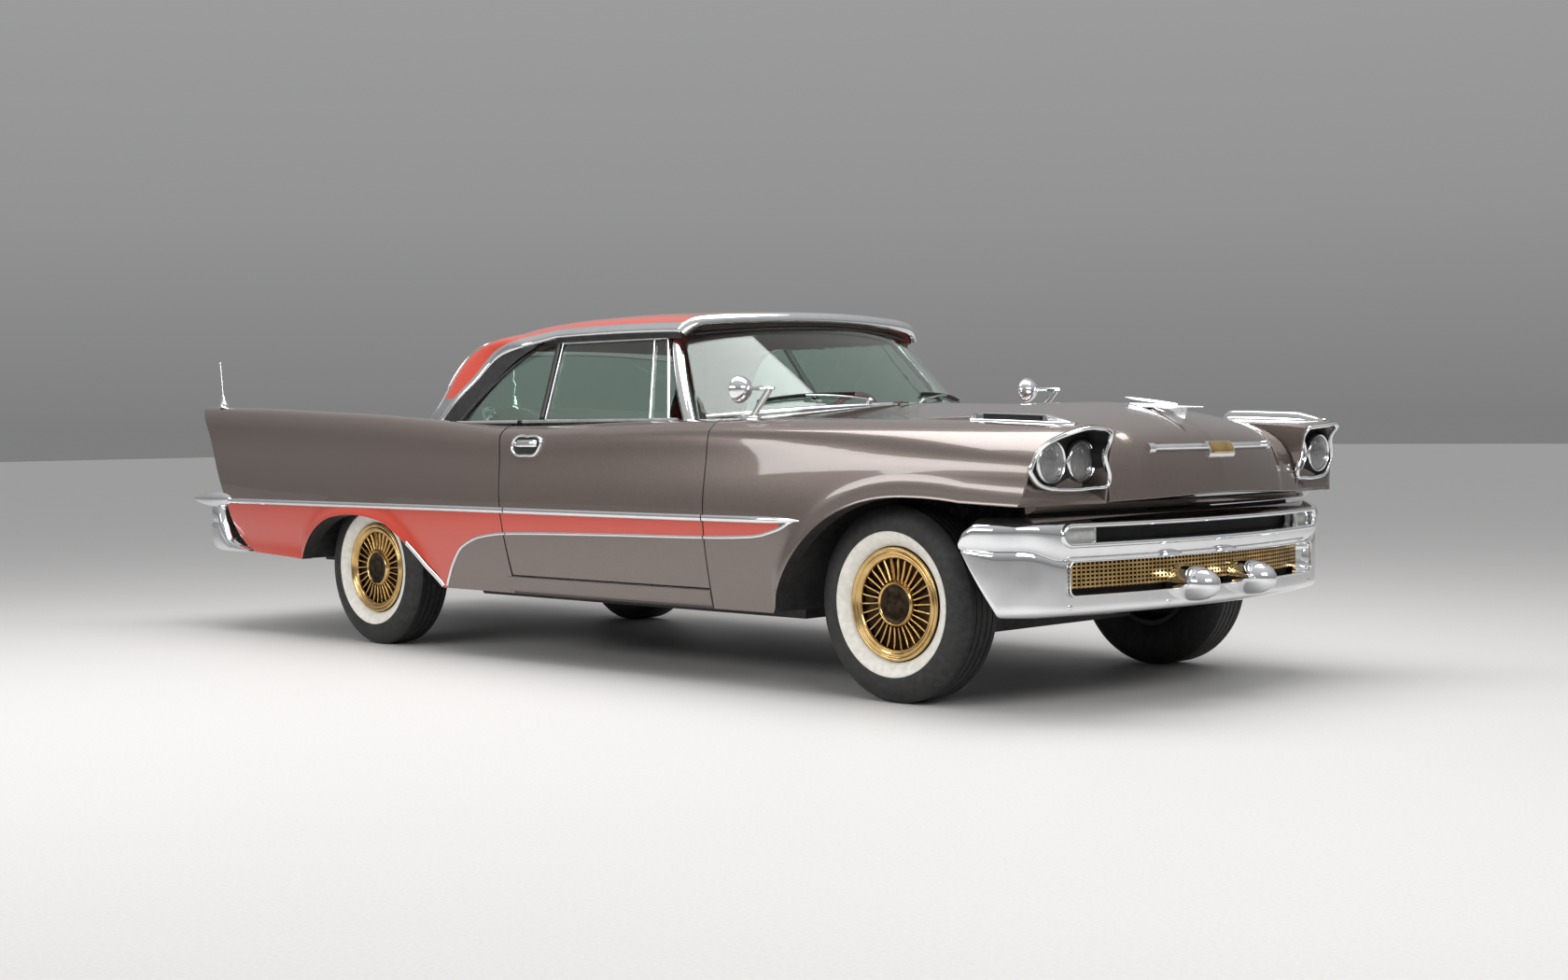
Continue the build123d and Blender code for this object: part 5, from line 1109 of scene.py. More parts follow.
# columns: half width, lower z, upper z and corner radius of the two hollows
OVAL = (OVAL_HALF, OVAL_Z - OVAL_HALF_HIGH, OVAL_Z + OVAL_HALF_HIGH, OVAL_HALF_HIGH - 0.001)
GRILLE = (GRILLE_HALF, GRILLE_LOW, GRILLE_TOP, 0.022)
BUMPER_DEEP, TOP_ROLL, CREASE_ROLL, FOOT_ROLL = 0.094, 0.050, 0.020, 0.040
front_rows, back_rows, sunk = [], [], []
for i, (x, y) in enumerate(BUMPER_PLAN):
    out = plan_normal(BUMPER_PLAN, i)
    low, high = bumper_reach(x)
    crease = min(max(bumper_crease(y), low + 0.001), high - 0.03)
    column = []
    for share in UP_SHARES[::-1]:
        push = -TOP_ROLL * max(0, (share - 0.55) / 0.45) ** 3 - CREASE_ROLL * (1 - share) ** 6
        column.append((mix(crease, high, share), push))
    for share in DOWN_SHARES:
        roll = -FOOT_ROLL * max(0, (share - 0.86) / 0.14) ** 3
        column.append((mix(crease, low, share), -0.011 - 0.009 * math.exp(-share / 0.03) + roll))
    row, flags = [], []
    for z, push in column:
        hole = min(rounded_gap(y, z, *OVAL), rounded_gap(y, z, *GRILLE))
        deep = SINK * ease(-hole / 0.007)
        row.append(Vector((x + out.x * (push - deep), y + out.y * (push - deep), z)))
        flags.append(deep > SINK * 0.6)
    front_rows.append(row)
    sunk.append(flags)
    back_x, back_y = x - out.x * BUMPER_DEEP, y - out.y * BUMPER_DEEP
    back_rows.append([Vector((back_x, back_y, min(max(v.z, low + 0.012), high - 0.012))) for v in row])
sheet = slab(front_rows, back_rows)
picks = [int(all(a[j:j + 2] + b[j:j + 2])) for a, b in zip(sunk, sunk[1:]) for j in range(len(a) - 1)]
picks += [0] * (len(sheet[1]) - len(picks))
bumper = piece("front_bumper_sheet", sheet, "body", [CHROME, BLACK_AND_SHADE], picks, crease=60)
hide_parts("front_bumper")
PLAN_BY_Y = [(y, x) for x, y in BUMPER_PLAN]


def bumper_spot(y, z, push=0.0):
    """A point on the bumper's plan at y, pushed outward, and the outward direction there."""
    behind, x, ahead = (look_up(at, PLAN_BY_Y) for at in (y - 0.01, y, y + 0.01))
    run = Vector((ahead - behind, 0.02)).normalized()
    out = Vector((run.y, -run.x, 0))
    return Vector((x, y, z)) + out * push, out


def window_ring(half, low, high, radius, step):
    """A rounded window's outline, as y and z pairs."""
    ring = []
    for sy, sz, start in ((1, 1, 0), (-1, 1, 90), (-1, -1, 180), (1, -1, 270)):
        for k in range(7):
            turn = math.radians(start + 15 * k)
            ring.append((sy * (half - radius) + radius * math.cos(turn),
                         (high - radius if sz > 0 else low + radius) + radius * math.sin(turn)))
    spaced = []
    for a, b in zip(ring, ring[1:] + ring[:1]):
        n = max(1, int(math.hypot(b[0] - a[0], b[1] - a[1]) / step))
        spaced += [(mix(a[0], b[0], k / n), mix(a[1], b[1], k / n)) for k in range(n)]
    return spaced


linings = []
for window, thick in ((OVAL, 0.0100), (GRILLE, 0.0030)):
    spots = [bumper_spot(y, z, -0.004) for y, z in window_ring(*window, 0.02)]
    linings.append(ring_bar([p for p, o in spots], [o for p, o in spots], thick, thick * 1.5))
trim("bumper_linings", linings)

# Parking lamps fill the oval's two ends, each with a bright frame
LENS_INNER_Y, LENS_OUTER_Y, LENS_ROUND_Y, LENS_HALF_HIGH, LENS_FRAME_Y = 0.640, 0.774, 0.744, 0.030, 0.636
lens_parts, frames = [], []
for side in (-1, 1):
    front, back = [], []
    for t in np.linspace(0, 1, 22):
        y = side * mix(LENS_INNER_Y, LENS_OUTER_Y, t)
        tall = LENS_HALF_HIGH * math.sqrt(max(1 - max(0, (abs(y) - LENS_ROUND_Y) / 0.0305) ** 2, 0.004))
        row, deep = [], []
        for u in np.linspace(-1, 1, 11):
            dome = 0.010 * (1 - u * u) * min(1, 4 * (1 - t))
            spot, out = bumper_spot(y, OVAL_Z + u * tall, -0.030 + dome)
            row.append(spot)
            deep.append(spot - out * 0.046)
        front.append(row)
        back.append(deep)
    lens_parts.append(slab(front, back))
    edge = [bumper_spot(side * LENS_FRAME_Y, OVAL_Z + u * 0.031, -0.022) for u in np.linspace(-1, 1, 7)]
    frames.append(ribbon(edge, 0.010, 0.006, sink=0.02))
lamps = trim("parking_lenses", lens_parts, mat=FROSTED)
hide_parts("parking_lamps")
trim("oval_trim", frames)

# Gold mesh grille: square bars both ways, bent along the bumper's plan
MESH_COLUMNS, MESH_ROWS, BAR, MESH_LOW = 76, 7, 0.0060, GRILLE_LOW + 0.020


def bar_loop(spot, out, half, front, back):
    """The four corners of a grille bar, from half its width and its reach ahead and behind."""
    return [spot + out * front + half, spot + out * front - half, spot - out * back - half, spot - out * back + half]


bars = []
for z in np.linspace(MESH_LOW + 0.005, GRILLE_TOP - 0.006, MESH_ROWS):
    row = [bumper_spot(y, z, -0.064) for y in np.linspace(-0.748, 0.748, 60)]
    bars.append(tube([bar_loop(spot, out, Vector((0, 0, BAR / 2)), 0.004, 0.004) for spot, out in row]))
for y in np.linspace(-0.742, 0.742, MESH_COLUMNS):
    column = [bumper_spot(y, z, -0.062) for z in (MESH_LOW, GRILLE_TOP - 0.001)]
    bars.append(tube([bar_loop(spot, out, Vector((-out.y, out.x, 0)) * BAR / 2, 0.003, 0.005)
                      for spot, out in column]))
mesh_grille = piece("gold_mesh_grille", merge(bars), "body", [GOLD], crease=40)
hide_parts("grille")

# Guards: rounded torpedoes on the lower bar, and bolts in the skirts
GUARD_Y, GUARD_Z = 0.180, 0.420
GUARD_LINE = [(0.001, 0.122), (0.013, 0.1205), (0.027, 0.114), (0.041, 0.100), (0.052, 0.078), (0.060, 0.046),
              (0.0635, 0.010), (0.0635, -0.024), (0.058, -0.056), (0.001, -0.060)]
BOLT_LINE = [(AXIS, 0.006), (0.006, 0.0055), (0.0095, 0.003), (0.0115, 0.0), (AXIS, -0.004)]
guards = []
for side in (-1, 1):
    guards.append(turned(GUARD_LINE, 40, bumper_spot(side * GUARD_Y, GUARD_Z, -0.020)[0], (1, 0, -0.03)))
    for y, z in ((0.749, 0.368), (0.30, 0.362)):
        guards.append(turned(BOLT_LINE, 20, *bumper_spot(side * y, z, -0.013)))
trim("bumper_guards", guards)

# Lip under the hood, body colour, with a near-black wall behind it as painted shade in the gap above the bumper
LIP_LINE = [(0.712, -0.020), (0.7125, -0.006), (0.708, 0.0), (0.692, -0.016), (0.682, -0.034), (0.680, -0.044)]
front, back = [], []
for y in np.linspace(-0.850, 0.850, 61):
    x = fx(722) - 0.080 * (abs(y) / 0.85) ** 2
    front.append([Vector((x + p, y, z)) for z, p in LIP_LINE])
    back.append([Vector((x - 0.055, y, z)) for z in np.linspace(0.711, 0.681, len(LIP_LINE))])
piece("front_valance", slab(front, back), "body", [TAUPE])
wall = [[Vector((fx(640) - 0.10 * (y / 0.9) ** 2, y, z)) for z in (0.672, 0.60, 0.50, 0.42)]
        for y in np.linspace(-0.80, 0.80, 21)]
piece("front_shade_wall", plate(wall, (-0.012, 0, 0)), "body", [BLACK_AND_SHADE])

# Headlamps: a bright rim along each nose's edge, a hollow lined in near-black as painted shade, and two sealed beams
# that face ahead
# columns: half width, z, millimetres ahead of the front axle
RIM_INNER = [(0.606, 0.916, 752), (0.618, 0.878, 742), (0.606, 0.836, 740), (0.590, 0.796, 738), (0.594, 0.772, 734)]
RIM_FOOT = [(0.640, 0.763, 724), (0.700, 0.760, 714), (0.780, 0.760, 700), (0.850, 0.766, 688), (0.900, 0.784, 678)]
LENS_LINE = [(AXIS, 0.014), (0.018, 0.0132), (0.036, 0.0105), (0.052, 0.006), (0.064, 0.000), (0.0665, -0.004),
             (0.057, -0.004), (0.036, 0.0065), (0.018, 0.0094), (AXIS, 0.0102)]
BOWL_LINE = [(0.0660, -0.005), (0.058, -0.016), (0.043, -0.026), (0.026, -0.032), (0.010, -0.035), (AXIS, -0.0355),
             (AXIS, -0.039), (0.030, -0.036), (0.060, -0.021), (0.068, -0.006)]
RING_LINE = [(0.0640, -0.004), (0.0655, 0.004), (0.0695, 0.0075), (0.0735, 0.004), (0.0745, -0.010), (0.067, -0.014)]
LAMP_OUT = Vector((1, 0, -0.04)).normalized()
# columns: scale about the lamps' middle, share of the way back
HOLLOW = ((1.0, 0.0), (0.985, 0.35), (0.965, 0.75), (0.945, 1.0), (0.70, 1.0), (0.40, 1.0), (0.03, 1.0))


def nose_edge():
    """The rim round the right lamps: up the flank, over the brow, down the inner side and along the foot."""
    line, far, crest = section(NOSE_X)
    start = float(np.interp(0.822, line[:crest, 1], far[:crest]))
    edge = []
    for w, z in on_line(line, far, np.linspace(start, far[-1] - 0.018, 26)):
        to = Vector((LAMPS_MID_W - w, LAMP_Z - z)).normalized() * 0.010
        edge.append(Vector((NOSE_X + lamp_shift(w, z) + 0.001, -w - to.x, z + to.y)))
    corner = [edge[-1]] + [Vector((fx(x), -w, z)) for w, z, x in RIM_INNER + RIM_FOOT] + [edge[0]]
    return edge + through(corner, 44)[1:-1]


rim_line = nose_edge()
middle = Vector((0, -sum(LAMP_W) / 2, LAMP_Z))
hollow = []
for scale, back in HOLLOW:
    hollow.append([Vector((mix(p.x, min(LAMP_X - 0.014, p.x - 0.004), back), middle.y + (p.y - middle.y) * scale,
                           middle.z + (p.z - middle.z) * scale)) for p in rim_line])
behind = [[v - LAMP_OUT * 0.004 for v in row] for row in hollow[::-1]]
FLUTED = blank("fluted_lens", (0.92, 0.93, 0.92), 0.06, transmission_weight=0.90, ior=1.48, coat_weight=0.5)
flutes = node(FLUTED, "ShaderNodeTexWave", bands_direction="Y", Scale=26.0)
place = node(FLUTED, "ShaderNodeTexCoord")
join(FLUTED, place.outputs["Object"], flutes.inputs["Vector"])
relief(FLUTED, flutes.outputs["Fac"], 0.7, 0.004)
tint(FLUTED, grain(FLUTED, 30), (0.86, 0.87, 0.86), (0.95, 0.96, 0.95))


def beams(profile):
    """A profile turned about each of the two right lamps."""
    return [turned(profile, 48, Vector((LAMP_X, -w, LAMP_Z)), LAMP_OUT) for w in LAMP_W]


# columns: name, shapes on the right side, slot, material, node that is replaced
LAMP_PIECES = [
    ("bezel_rim", [ring_bar(rim_line, [Vector((1, 0, 0))] * len(rim_line), 0.0075, 0.012)], "chrome", CHROME,
     "headlamp_bezels"),
    ("bezel_hollow_shade", [tube(hollow + behind, ring=True)], "chassis", BLACK_AND_SHADE, None),
    ("lamp_rings", beams(RING_LINE), "chrome", CHROME, None),
    ("lamp_lenses", beams(LENS_LINE), "lamp_glass", FLUTED, "headlamps"),
    ("lamp_bowls", beams(BOWL_LINE), "chrome", REFLECTOR, None),
]
for label, side in SIDES:
    for name, shapes, slot, mat, node_name in LAMP_PIECES:
        verts, faces = merge(shapes)
        made = piece(f"{name}_{label}", ([(v[0], -side * v[1], v[2]) for v in verts], faces), "body", [mat])
        if node_name:
            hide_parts(node_name)

# Fender scoops: a bright hood on top of each fender, hollow on its outer side, with a long nose
SCOOP_W, SCOOP_REAR, SCOOP_TOP, SCOOP_NOSE = 0.776, fx(312), fx(636), fx(745)


def fender_top(x, w):
    """Height of the fender's top beside its crest."""
    crest_z, crest_w, valley_z, valley_w = (float(COLUMN[k](x)) for k in range(4))
    t = min(max((crest_w - w) / (crest_w - valley_w), 0), 1)
    return mix(crest_z, valley_z, t) + TOP_CROWN * t * (1 - t)


for label, side in SIDES:
    cover, channel = [], []
    for x in columns((SCOOP_REAR, SCOOP_REAR + 0.02, 0.005), (SCOOP_REAR + 0.02, SCOOP_TOP, 0.03),
                     (SCOOP_TOP, SCOOP_NOSE, 0.009)):
        base = fender_top(x - 0.06, SCOOP_W)
        back, nose = (x - SCOOP_REAR) / 0.022, (SCOOP_NOSE - x) / (SCOOP_NOSE - SCOOP_TOP)
        high = max(0.003, 0.027 * min(1, 0.35 + back * 0.65) * min(1, nose ** 0.8))
        half = 0.022 * min(1, 0.5 + nose * 0.9)
        hole = ease((x - SCOOP_REAR - 0.012) / 0.02) * ease((SCOOP_TOP + 0.004 - x) / 0.02)
        deep = mix(half * 0.97, half * 0.25, hole)
        ring = [(-half, -0.014), (-half, high - 0.006), (-half * 0.8, high - 0.001), (0, high),
                (half * 0.75, high - 0.0005), (half, high - 0.003), (half, high - 0.0055), (deep, high - 0.0065),
                (deep, 0.005), (half, 0.0045), (half * 1.12, 0.002), (half * 1.12, -0.014)]
        cover.append([Vector((x, side * (SCOOP_W + a), base + b)) for a, b in ring])
        if hole > 0.4:
            near, far = half * 0.20, half * 0.60
            ring = [(near, 0.003), (near, high - 0.004), (far, high - 0.004), (far, 0.003)]
            channel.append([Vector((x, side * (SCOOP_W + a), base + b)) for a, b in ring])
    trim(f"fender_scoop_{label}", [tube(cover)])
    # The channel inside each scoop's hollow is near-black, as painted shade
    trim(f"fender_scoop_channel_{label}", [tube(channel)], mat=BLACK_AND_SHADE)


# Hood dart: two blades, a keel and a fin. Below it a plain bar with a bare gold plate.
def hood_spot(y, x=None, z=None):
    """A point of the hood's surface at y, by its x on top or by its z on the face, and the outward direction."""
    line = hood_line(y, 120)
    k = next((i for i, p in enumerate(line) if (p.x >= x if z is None else p.x > fx(560) and p.z <= z)), len(line) - 1)
    a, b = line[k - 1], line[k]
    t = (x - a.x) / (b.x - a.x) if z is None else (z - a.z) / (b.z - a.z)
    along = (b - a).normalized()
    return a.lerp(b, min(max(t, 0), 1)), Vector((-along.z, 0, along.x))


DART_THICK = 0.012


def dart_blade(rear, tip, half, rear_z, tip_z, droop=0.0):
    """A flat pointed blade along the hood's middle."""
    loops = []
    for t in np.linspace(0, 1, 24):
        wide = max(half * (1 - t) ** 0.75 * min(1, 0.72 + t * 3), 0.0012)
        swell_out = 0.35 + 0.65 * math.sin(math.pi * min(1, t * 0.8 + 0.2)) if t < 0.98 else 0.3
        high, loop = DART_THICK * swell_out, []
        for a in turns(20):
            x = mix(rear, tip, t) + 0.02 * abs(math.cos(a)) * (1 - t) * (half / 0.05) - 0.02 * (1 - t)
            z = mix(rear_z, tip_z, t) + high / 2 * math.sin(a) - droop * abs(math.cos(a)) ** 2 * (1 - t)
            loop.append(Vector((x, wide * math.cos(a), z)))
        loops.append(loop)
    return tube(loops)


# columns: share of the height, share of the half width
KEEL_RING = ((0, -1), (0.5, -0.8), (1, -0.9), (1, 0.9), (0.5, 0.8), (0, 1))
keel, fin = [], []
for t in np.linspace(0, 1, 16):
    x = mix(fx(430), fx(640), t)
    foot = hood_spot(0.0, x=x)[0].z - 0.006
    wide = 0.012 * math.sin(math.pi * min(1, 0.12 + t * 0.86)) + 0.001
    keel.append([Vector((x + 0.012 * q, y * wide, mix(foot, mix(1.042, 1.032, t), q))) for q, y in KEEL_RING])
for t in np.linspace(0, 1, 14):
    x, wide, top = mix(fx(405), fx(606), t), 0.004 * (1 - t) + 0.0015, mix(1.068, 1.040, t)
    fin.append([Vector((x, wide * y, z)) for y, z in ((-1, 1.034), (1, 1.034), (1, top), (-1, top))])
trim("hood_dart", [dart_blade(fx(396), fx(721), 0.050, 1.046, 1.030, 0.010),
                   dart_blade(fx(405), fx(612), 0.015, 1.070, 1.042), tube(keel), tube(fin)], "hood")


def hood_bar(start, end, z, width, proud, sink=0.008, lift=0.0, count=24):
    """A bar across the hood's face."""
    spots = [hood_spot(y, z=z) for y in np.linspace(start, end, count)]
    return ribbon([(p + o * lift, o) for p, o in spots], width, proud, sink=sink)


bar = [hood_bar(-0.350, 0.350, 0.892, 0.024, 0.008), hood_bar(-0.360, 0.360, 0.8830, 0.009, 0.016)]
bar += [hood_bar(side * 0.360 - 0.014, side * 0.360 + 0.014, 0.889, 0.036, 0.020, count=5) for side in (-1, 1)]
bar.append(hood_bar(-0.078, 0.078, 0.880, 0.062, 0.022, count=9))
trim("hood_bar", bar, "hood")
trim("hood_plate", [hood_bar(-0.062, 0.062, 0.880, 0.044, 0.0075, 0.004, 0.020, 9)], "hood", GOLD)

# Glass lines that the trim follows: all panes stand on one height
GLASS_FOOT_Z, BAND_HIGH, PANE_FOOT_W = 1.0, 0.4, 0.866
PANE_RUN = math.hypot(0.352, 0.198)
PANE_IN, PANE_RISE = 0.198 / PANE_RUN, 0.352 / PANE_RUN
DIVIDER_FOOT_X, DIVIDER_HEAD_X = rx(1262), rx(1167)
PANE_TOP = PANE_RUN - 0.014


def pane_spot(x, v, side, lift=0.004):
    """A point on the side glass, v up its slope, and the outward direction."""
    out = Vector((0, side * PANE_RISE, PANE_IN))
    return Vector((x, side * (PANE_FOOT_W - v * PANE_IN), GLASS_FOOT_Z + v * PANE_RISE)) + out * lift, out


def band_x(y, z, foot, head):
    """X of a wrapped pane at a place. foot and head hold corner x, half width and middle x."""
    k = (z - GLASS_FOOT_Z) / BAND_HIGH
    corner, half, middle = (mix(a, b, k) for a, b in zip(foot, head))
    sag = abs(middle - corner)
    radius = (half * half + sag * sag) / (2 * sag)
    drop = radius - math.sqrt(max(radius * radius - y * y, 0))
    return middle - drop if middle > corner else middle + drop


SCREEN = ((fx(-1056), 0.800, fx(-660)), (fx(-1317), 0.634, fx(-1162)))


def screen_spot(y, z, lift=0.0):
    """A point on the windshield's outer face and the outward direction there."""
    x = band_x(y, z, *SCREEN) + 0.012
    side_run = (band_x(y + 0.01, z, *SCREEN) - band_x(y - 0.01, z, *SCREEN)) / 0.02
    rise = (band_x(y, z + 0.01, *SCREEN) - band_x(y, z - 0.01, *SCREEN)) / 0.02
    out = Vector((1, -side_run, -rise)).normalized()
    return Vector((x, y, z)) + out * lift, out


def cowl_z(y):
    """Height of the cowl's rear edge."""
    return 1.004 + 0.044 * (1 - (y / 0.79) ** 2)


# Windshield surround: a wide bright header, and a seal with a bright edge along the cowl
header = [(roof_place(0, s) + Vector((0.004, 0, -0.012)), Vector((0.8, 0.25 * s, 0.5)))
          for s in np.linspace(-0.985, 0.985, 61)]
foot_line = [screen_spot(y, cowl_z(y) + 0.012, 0.001) for y in np.linspace(-0.775, 0.775, 61)]
trim("windshield_header", [ribbon(header, 0.044, 0.012, sink=0.014)])
trim("windshield_foot_trim", [ribbon(foot_line, 0.022, 0.006, sink=0.016)], mat=SATIN)
head_line = [screen_spot(y, 1.352 + 0.030 * (1 - (y / 0.64) ** 2), 0.001) for y in np.linspace(-0.625, 0.625, 41)]
trim("windshield_head_seal", [ribbon(head_line, 0.020, 0.004, sink=0.010)], mat=SEAL)

# Wipers lie along the windshield's foot
PIVOT_Y = 0.16
PIVOT_LINE = [(AXIS, 0.012), (0.010, 0.010), (0.013, 0.0), (0.013, -0.022), (AXIS, -0.022)]
# columns: y, rise above the cowl, lift off the glass
WIPER_ARM = ((PIVOT_Y, 0.020, 0.016), (0.24, 0.030, 0.020), (0.34, 0.044, 0.018), (0.42, 0.052, 0.015))
WIPER_BLADE = ((0.20, 0.052), (0.28, 0.054), (0.36, 0.056), (0.44, 0.056), (0.52, 0.054), (0.60, 0.048))
for label, side in SIDES:
    pivot, out = screen_spot(side * PIVOT_Y, cowl_z(PIVOT_Y) + 0.020, 0.012)
    arm = [screen_spot(side * y, cowl_z(y) + rise, lift)[0] for y, rise, lift in WIPER_ARM]
    wiper = [screen_spot(side * y, cowl_z(y) + rise, 0.006) for y, rise in WIPER_BLADE]
    trim(f"wiper_arm_{label}", [rod(through(arm, 14), 0.0045, 8), turned(PIVOT_LINE, 20, pivot, out)], mat=SATIN)
    trim(f"wiper_blade_{label}", [ribbon(wiper, 0.008, 0.012)], mat=SEAL)

# Side window frames, belt lines and handles
HANDLE_X, HANDLE_Z = DOOR_REAR_X + 0.130, 0.908
HANDLE_RING = [(0.0, 0.038), (0.072, 0.036), (0.094, 0.022), (0.083, -0.010), (0.058, -0.034), (0.0, -0.038),
               (-0.060, -0.036), (-0.084, -0.022), (-0.090, 0.012), (-0.072, 0.034), (0.0, 0.038)]
# columns: place along the handle, lift
GRIP_LINE = ((-0.058, 0.002), (-0.050, 0.007), (-0.020, 0.009), (0.020, 0.009), (0.058, 0.007), (0.068, 0.002))
BUTTON_LINE = [(AXIS, 0.006), (0.008, 0.005), (0.011, 0.0), (0.011, -0.008), (AXIS, -0.008)]
# columns: scale, lift
HANDLE_BOWL = ((0.97, 0.004), (0.88, 0.0005), (0.50, 0.0005), (0.03, 0.0005))


def pane_line(foot_x, head_x, foot, head, side):
    """Places up the side glass, from a foot's x and slope place to a head's."""
    return [pane_spot(mix(foot_x, head_x, t), mix(foot, head, t), side) for t in np.linspace(0, 1, 12)]


for label, side in SIDES:
    door = f"door_{label}"
    vent = pane_line(fx(-1262), fx(-1433), 0.006, PANE_TOP - 0.006, side)
    divider = pane_line(DIVIDER_FOOT_X + 0.022, DIVIDER_HEAD_X + 0.022, 0.016, PANE_TOP - 0.004, side)
    slope = pane_line(fx(-1152), fx(-1352), 0.004, PANE_TOP - 0.006, side)
    head = [pane_spot(x, PANE_TOP - 0.004, side) for x in np.linspace(DIVIDER_HEAD_X + 0.012, fx(-1356), 16)]
    belt = [pane_spot(x, 0.006, side, 0.006) for x in np.linspace(DOOR_REAR_X - 0.016, fx(-1098), 24)]
    frame_bars = ((vent, 0.009, 0.004), (divider, 0.009, 0.006), (head, 0.011, 0.005), (belt, 0.016, 0.008),
                  (slope, 0.011, 0.005))
    trim(f"door_glass_frame_{label}", [ribbon(*bar) for bar in frame_bars], door, SATIN)
    quarter_belt = [pane_spot(x, 0.006, side, 0.006) for x in np.linspace(rx(684), DOOR_REAR_X - 0.048, 16)]
    post = pane_line(DIVIDER_FOOT_X - 0.008, DIVIDER_HEAD_X - 0.008, 0.022, PANE_TOP - 0.004, side)
    bend = arc_points((rx(1010), PANE_TOP - 0.030), (rx(850), 0.225), (rx(690), -0.004), 24)
    rear_seal = [pane_spot(x, v, side) for x, v in bend]
    trim(f"quarter_glass_belt_{label}", [ribbon(quarter_belt, 0.016, 0.008)])
    trim(f"quarter_glass_seal_{label}", [ribbon(post, 0.026, 0.007), ribbon(rear_seal, 0.018, 0.006)], mat=SEAL)
    middle, out = side_spot(HANDLE_X, HANDLE_Z, side)
    ring = [side_spot(HANDLE_X + p.x, HANDLE_Z + p.y, side, 0.002)[0] for p in through(HANDLE_RING, 49)[:-1]]
    grip = [side_spot(HANDLE_X + dx, HANDLE_Z + 0.010, side, lift) for dx, lift in GRIP_LINE]
    button = side_spot(HANDLE_X - 0.072, HANDLE_Z + 0.008, side, 0.004)
    trim(f"door_handle_{label}", [ring_bar(ring, [out] * len(ring), 0.0065, 0.009),
                                  ribbon(grip, 0.030, 0.008, sink=0.005, taper=(0.8, 0.8), run=0.01),
                                  turned(BUTTON_LINE, 20, *button)], door)
    # The recess round each handle is near-black, as painted shade
    bowl = [[middle + (p - middle) * scale + out * lift for p in ring] for scale, lift in HANDLE_BOWL]
    under = [[p - out * 0.006 for p in loop] for loop in bowl[::-1]]
    trim(f"door_handle_recess_{label}", [tube(bowl + under, ring=True)], door, BLACK_AND_SHADE)

# Fender mirrors: a round head behind a level arm, on a leg that rakes back to its foot. Antennas on the fins.
MIRROR_W, MIRROR_Z = 0.862, 1.120
MIRROR_LINE = [(AXIS, 0.042), (0.014, 0.040), (0.028, 0.032), (0.041, 0.018), (0.050, 0.002), (0.0535, -0.009),
               (0.052, -0.0125), (0.049, -0.0125), (0.048, -0.009), (AXIS, -0.008)]
LEG_LINE = ((-594, MIRROR_Z - 0.004), (-630, MIRROR_Z - 0.045), (-668, MIRROR_Z - 0.088), (-694, 1.000))
MAST_LINE = [(AXIS, 0.052), (0.005, 0.050), (0.008, 0.040), (0.012, 0.020), (0.018, 0.008), (0.021, 0.0),
             (0.021, -0.016), (AXIS, -0.016)]
MAST_TIP = [(AXIS, 0.006), (0.004, 0.004), (0.0055, 0.0), (0.004, -0.004), (AXIS, -0.006)]
for label, side in SIDES:
    y = side * MIRROR_W
    arm = [(fx(x), y, MIRROR_Z + 0.001) for x in (-712, -690, -650, -610, -585, -574)]
    leg = [(fx(x), y, z) for x, z in LEG_LINE]
    foot = [(fx(x), y, fender_top(fx(x), MIRROR_W) + 0.002) for x in (-752, -735, -700, -668, -652)]
    head = trim(f"fender_mirror_{label}", [
        turned(MIRROR_LINE, 40, (fx(-748), y, MIRROR_Z), (1, 0, 0)),
        batten(arm, (0, 0, 1), 0.020, 0.009, sink=0.008, taper=(1.0, 0.4), run=0.03),
        batten(leg, (0.75, 0, 0.6), 0.020, 0.009, sink=0.012),
        batten(foot, (0, 0, 1), 0.040, 0.009, sink=0.014, taper=(0.5, 0.5), run=0.03),
    ])
    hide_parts("mirrors")
    tip = Vector((rx(-1210), side * 0.908, 1.318))
    foot = Vector((rx(-1190), side * 0.905, 1.112))
    lean = (tip - foot).normalized()
    mast = trim(f"antenna_mast_{label}", [
        turned(MAST_LINE, 28, foot, lean), rod([foot, foot.lerp(tip, 0.5), tip], 0.0030, 10, [1.2, 1.0, 0.8]),
        turned(MAST_TIP, 16, tip, lean),
    ])
    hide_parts("antennas")

# Tail lamps: three red lenses in bright rings up each fin, inside a bright frame
TAIL_TOP, TAIL_FOOT = Vector((rx(-1372), 0, 1.135)), Vector((rx(-1092), 0, 0.632))
TAIL_MID = (TAIL_TOP + TAIL_FOOT) / 2
TAIL_OUT = Vector((TAIL_FOOT.z - TAIL_TOP.z, 0, TAIL_TOP.x - TAIL_FOOT.x)).normalized()
TAIL_DOWN = TAIL_OUT.cross(Vector((0, 1, 0)))
LENS_DOME = [(AXIS, 0.030), (0.014, 0.028), (0.026, 0.023), (0.035, 0.014), (0.038, 0.004), (0.038, -0.004),
             (AXIS, -0.004)]
LENS_RING = [(0.0365, 0.002), (0.038, 0.010), (0.043, 0.013), (0.0475, 0.009), (0.049, -0.004), (0.037, -0.006)]
LENS_TIP = [(AXIS, 0.036), (0.005, 0.034), (0.008, 0.029), (AXIS, 0.026)]
FRAME_STEPS, FRAME_LONG, FRAME_WIDE, FRAME_W = 48, 0.218, 0.060, 0.852


def signed_power(value, power):
    """A power of the size of a value, with the value's sign."""
    return math.copysign(abs(value) ** power, value)


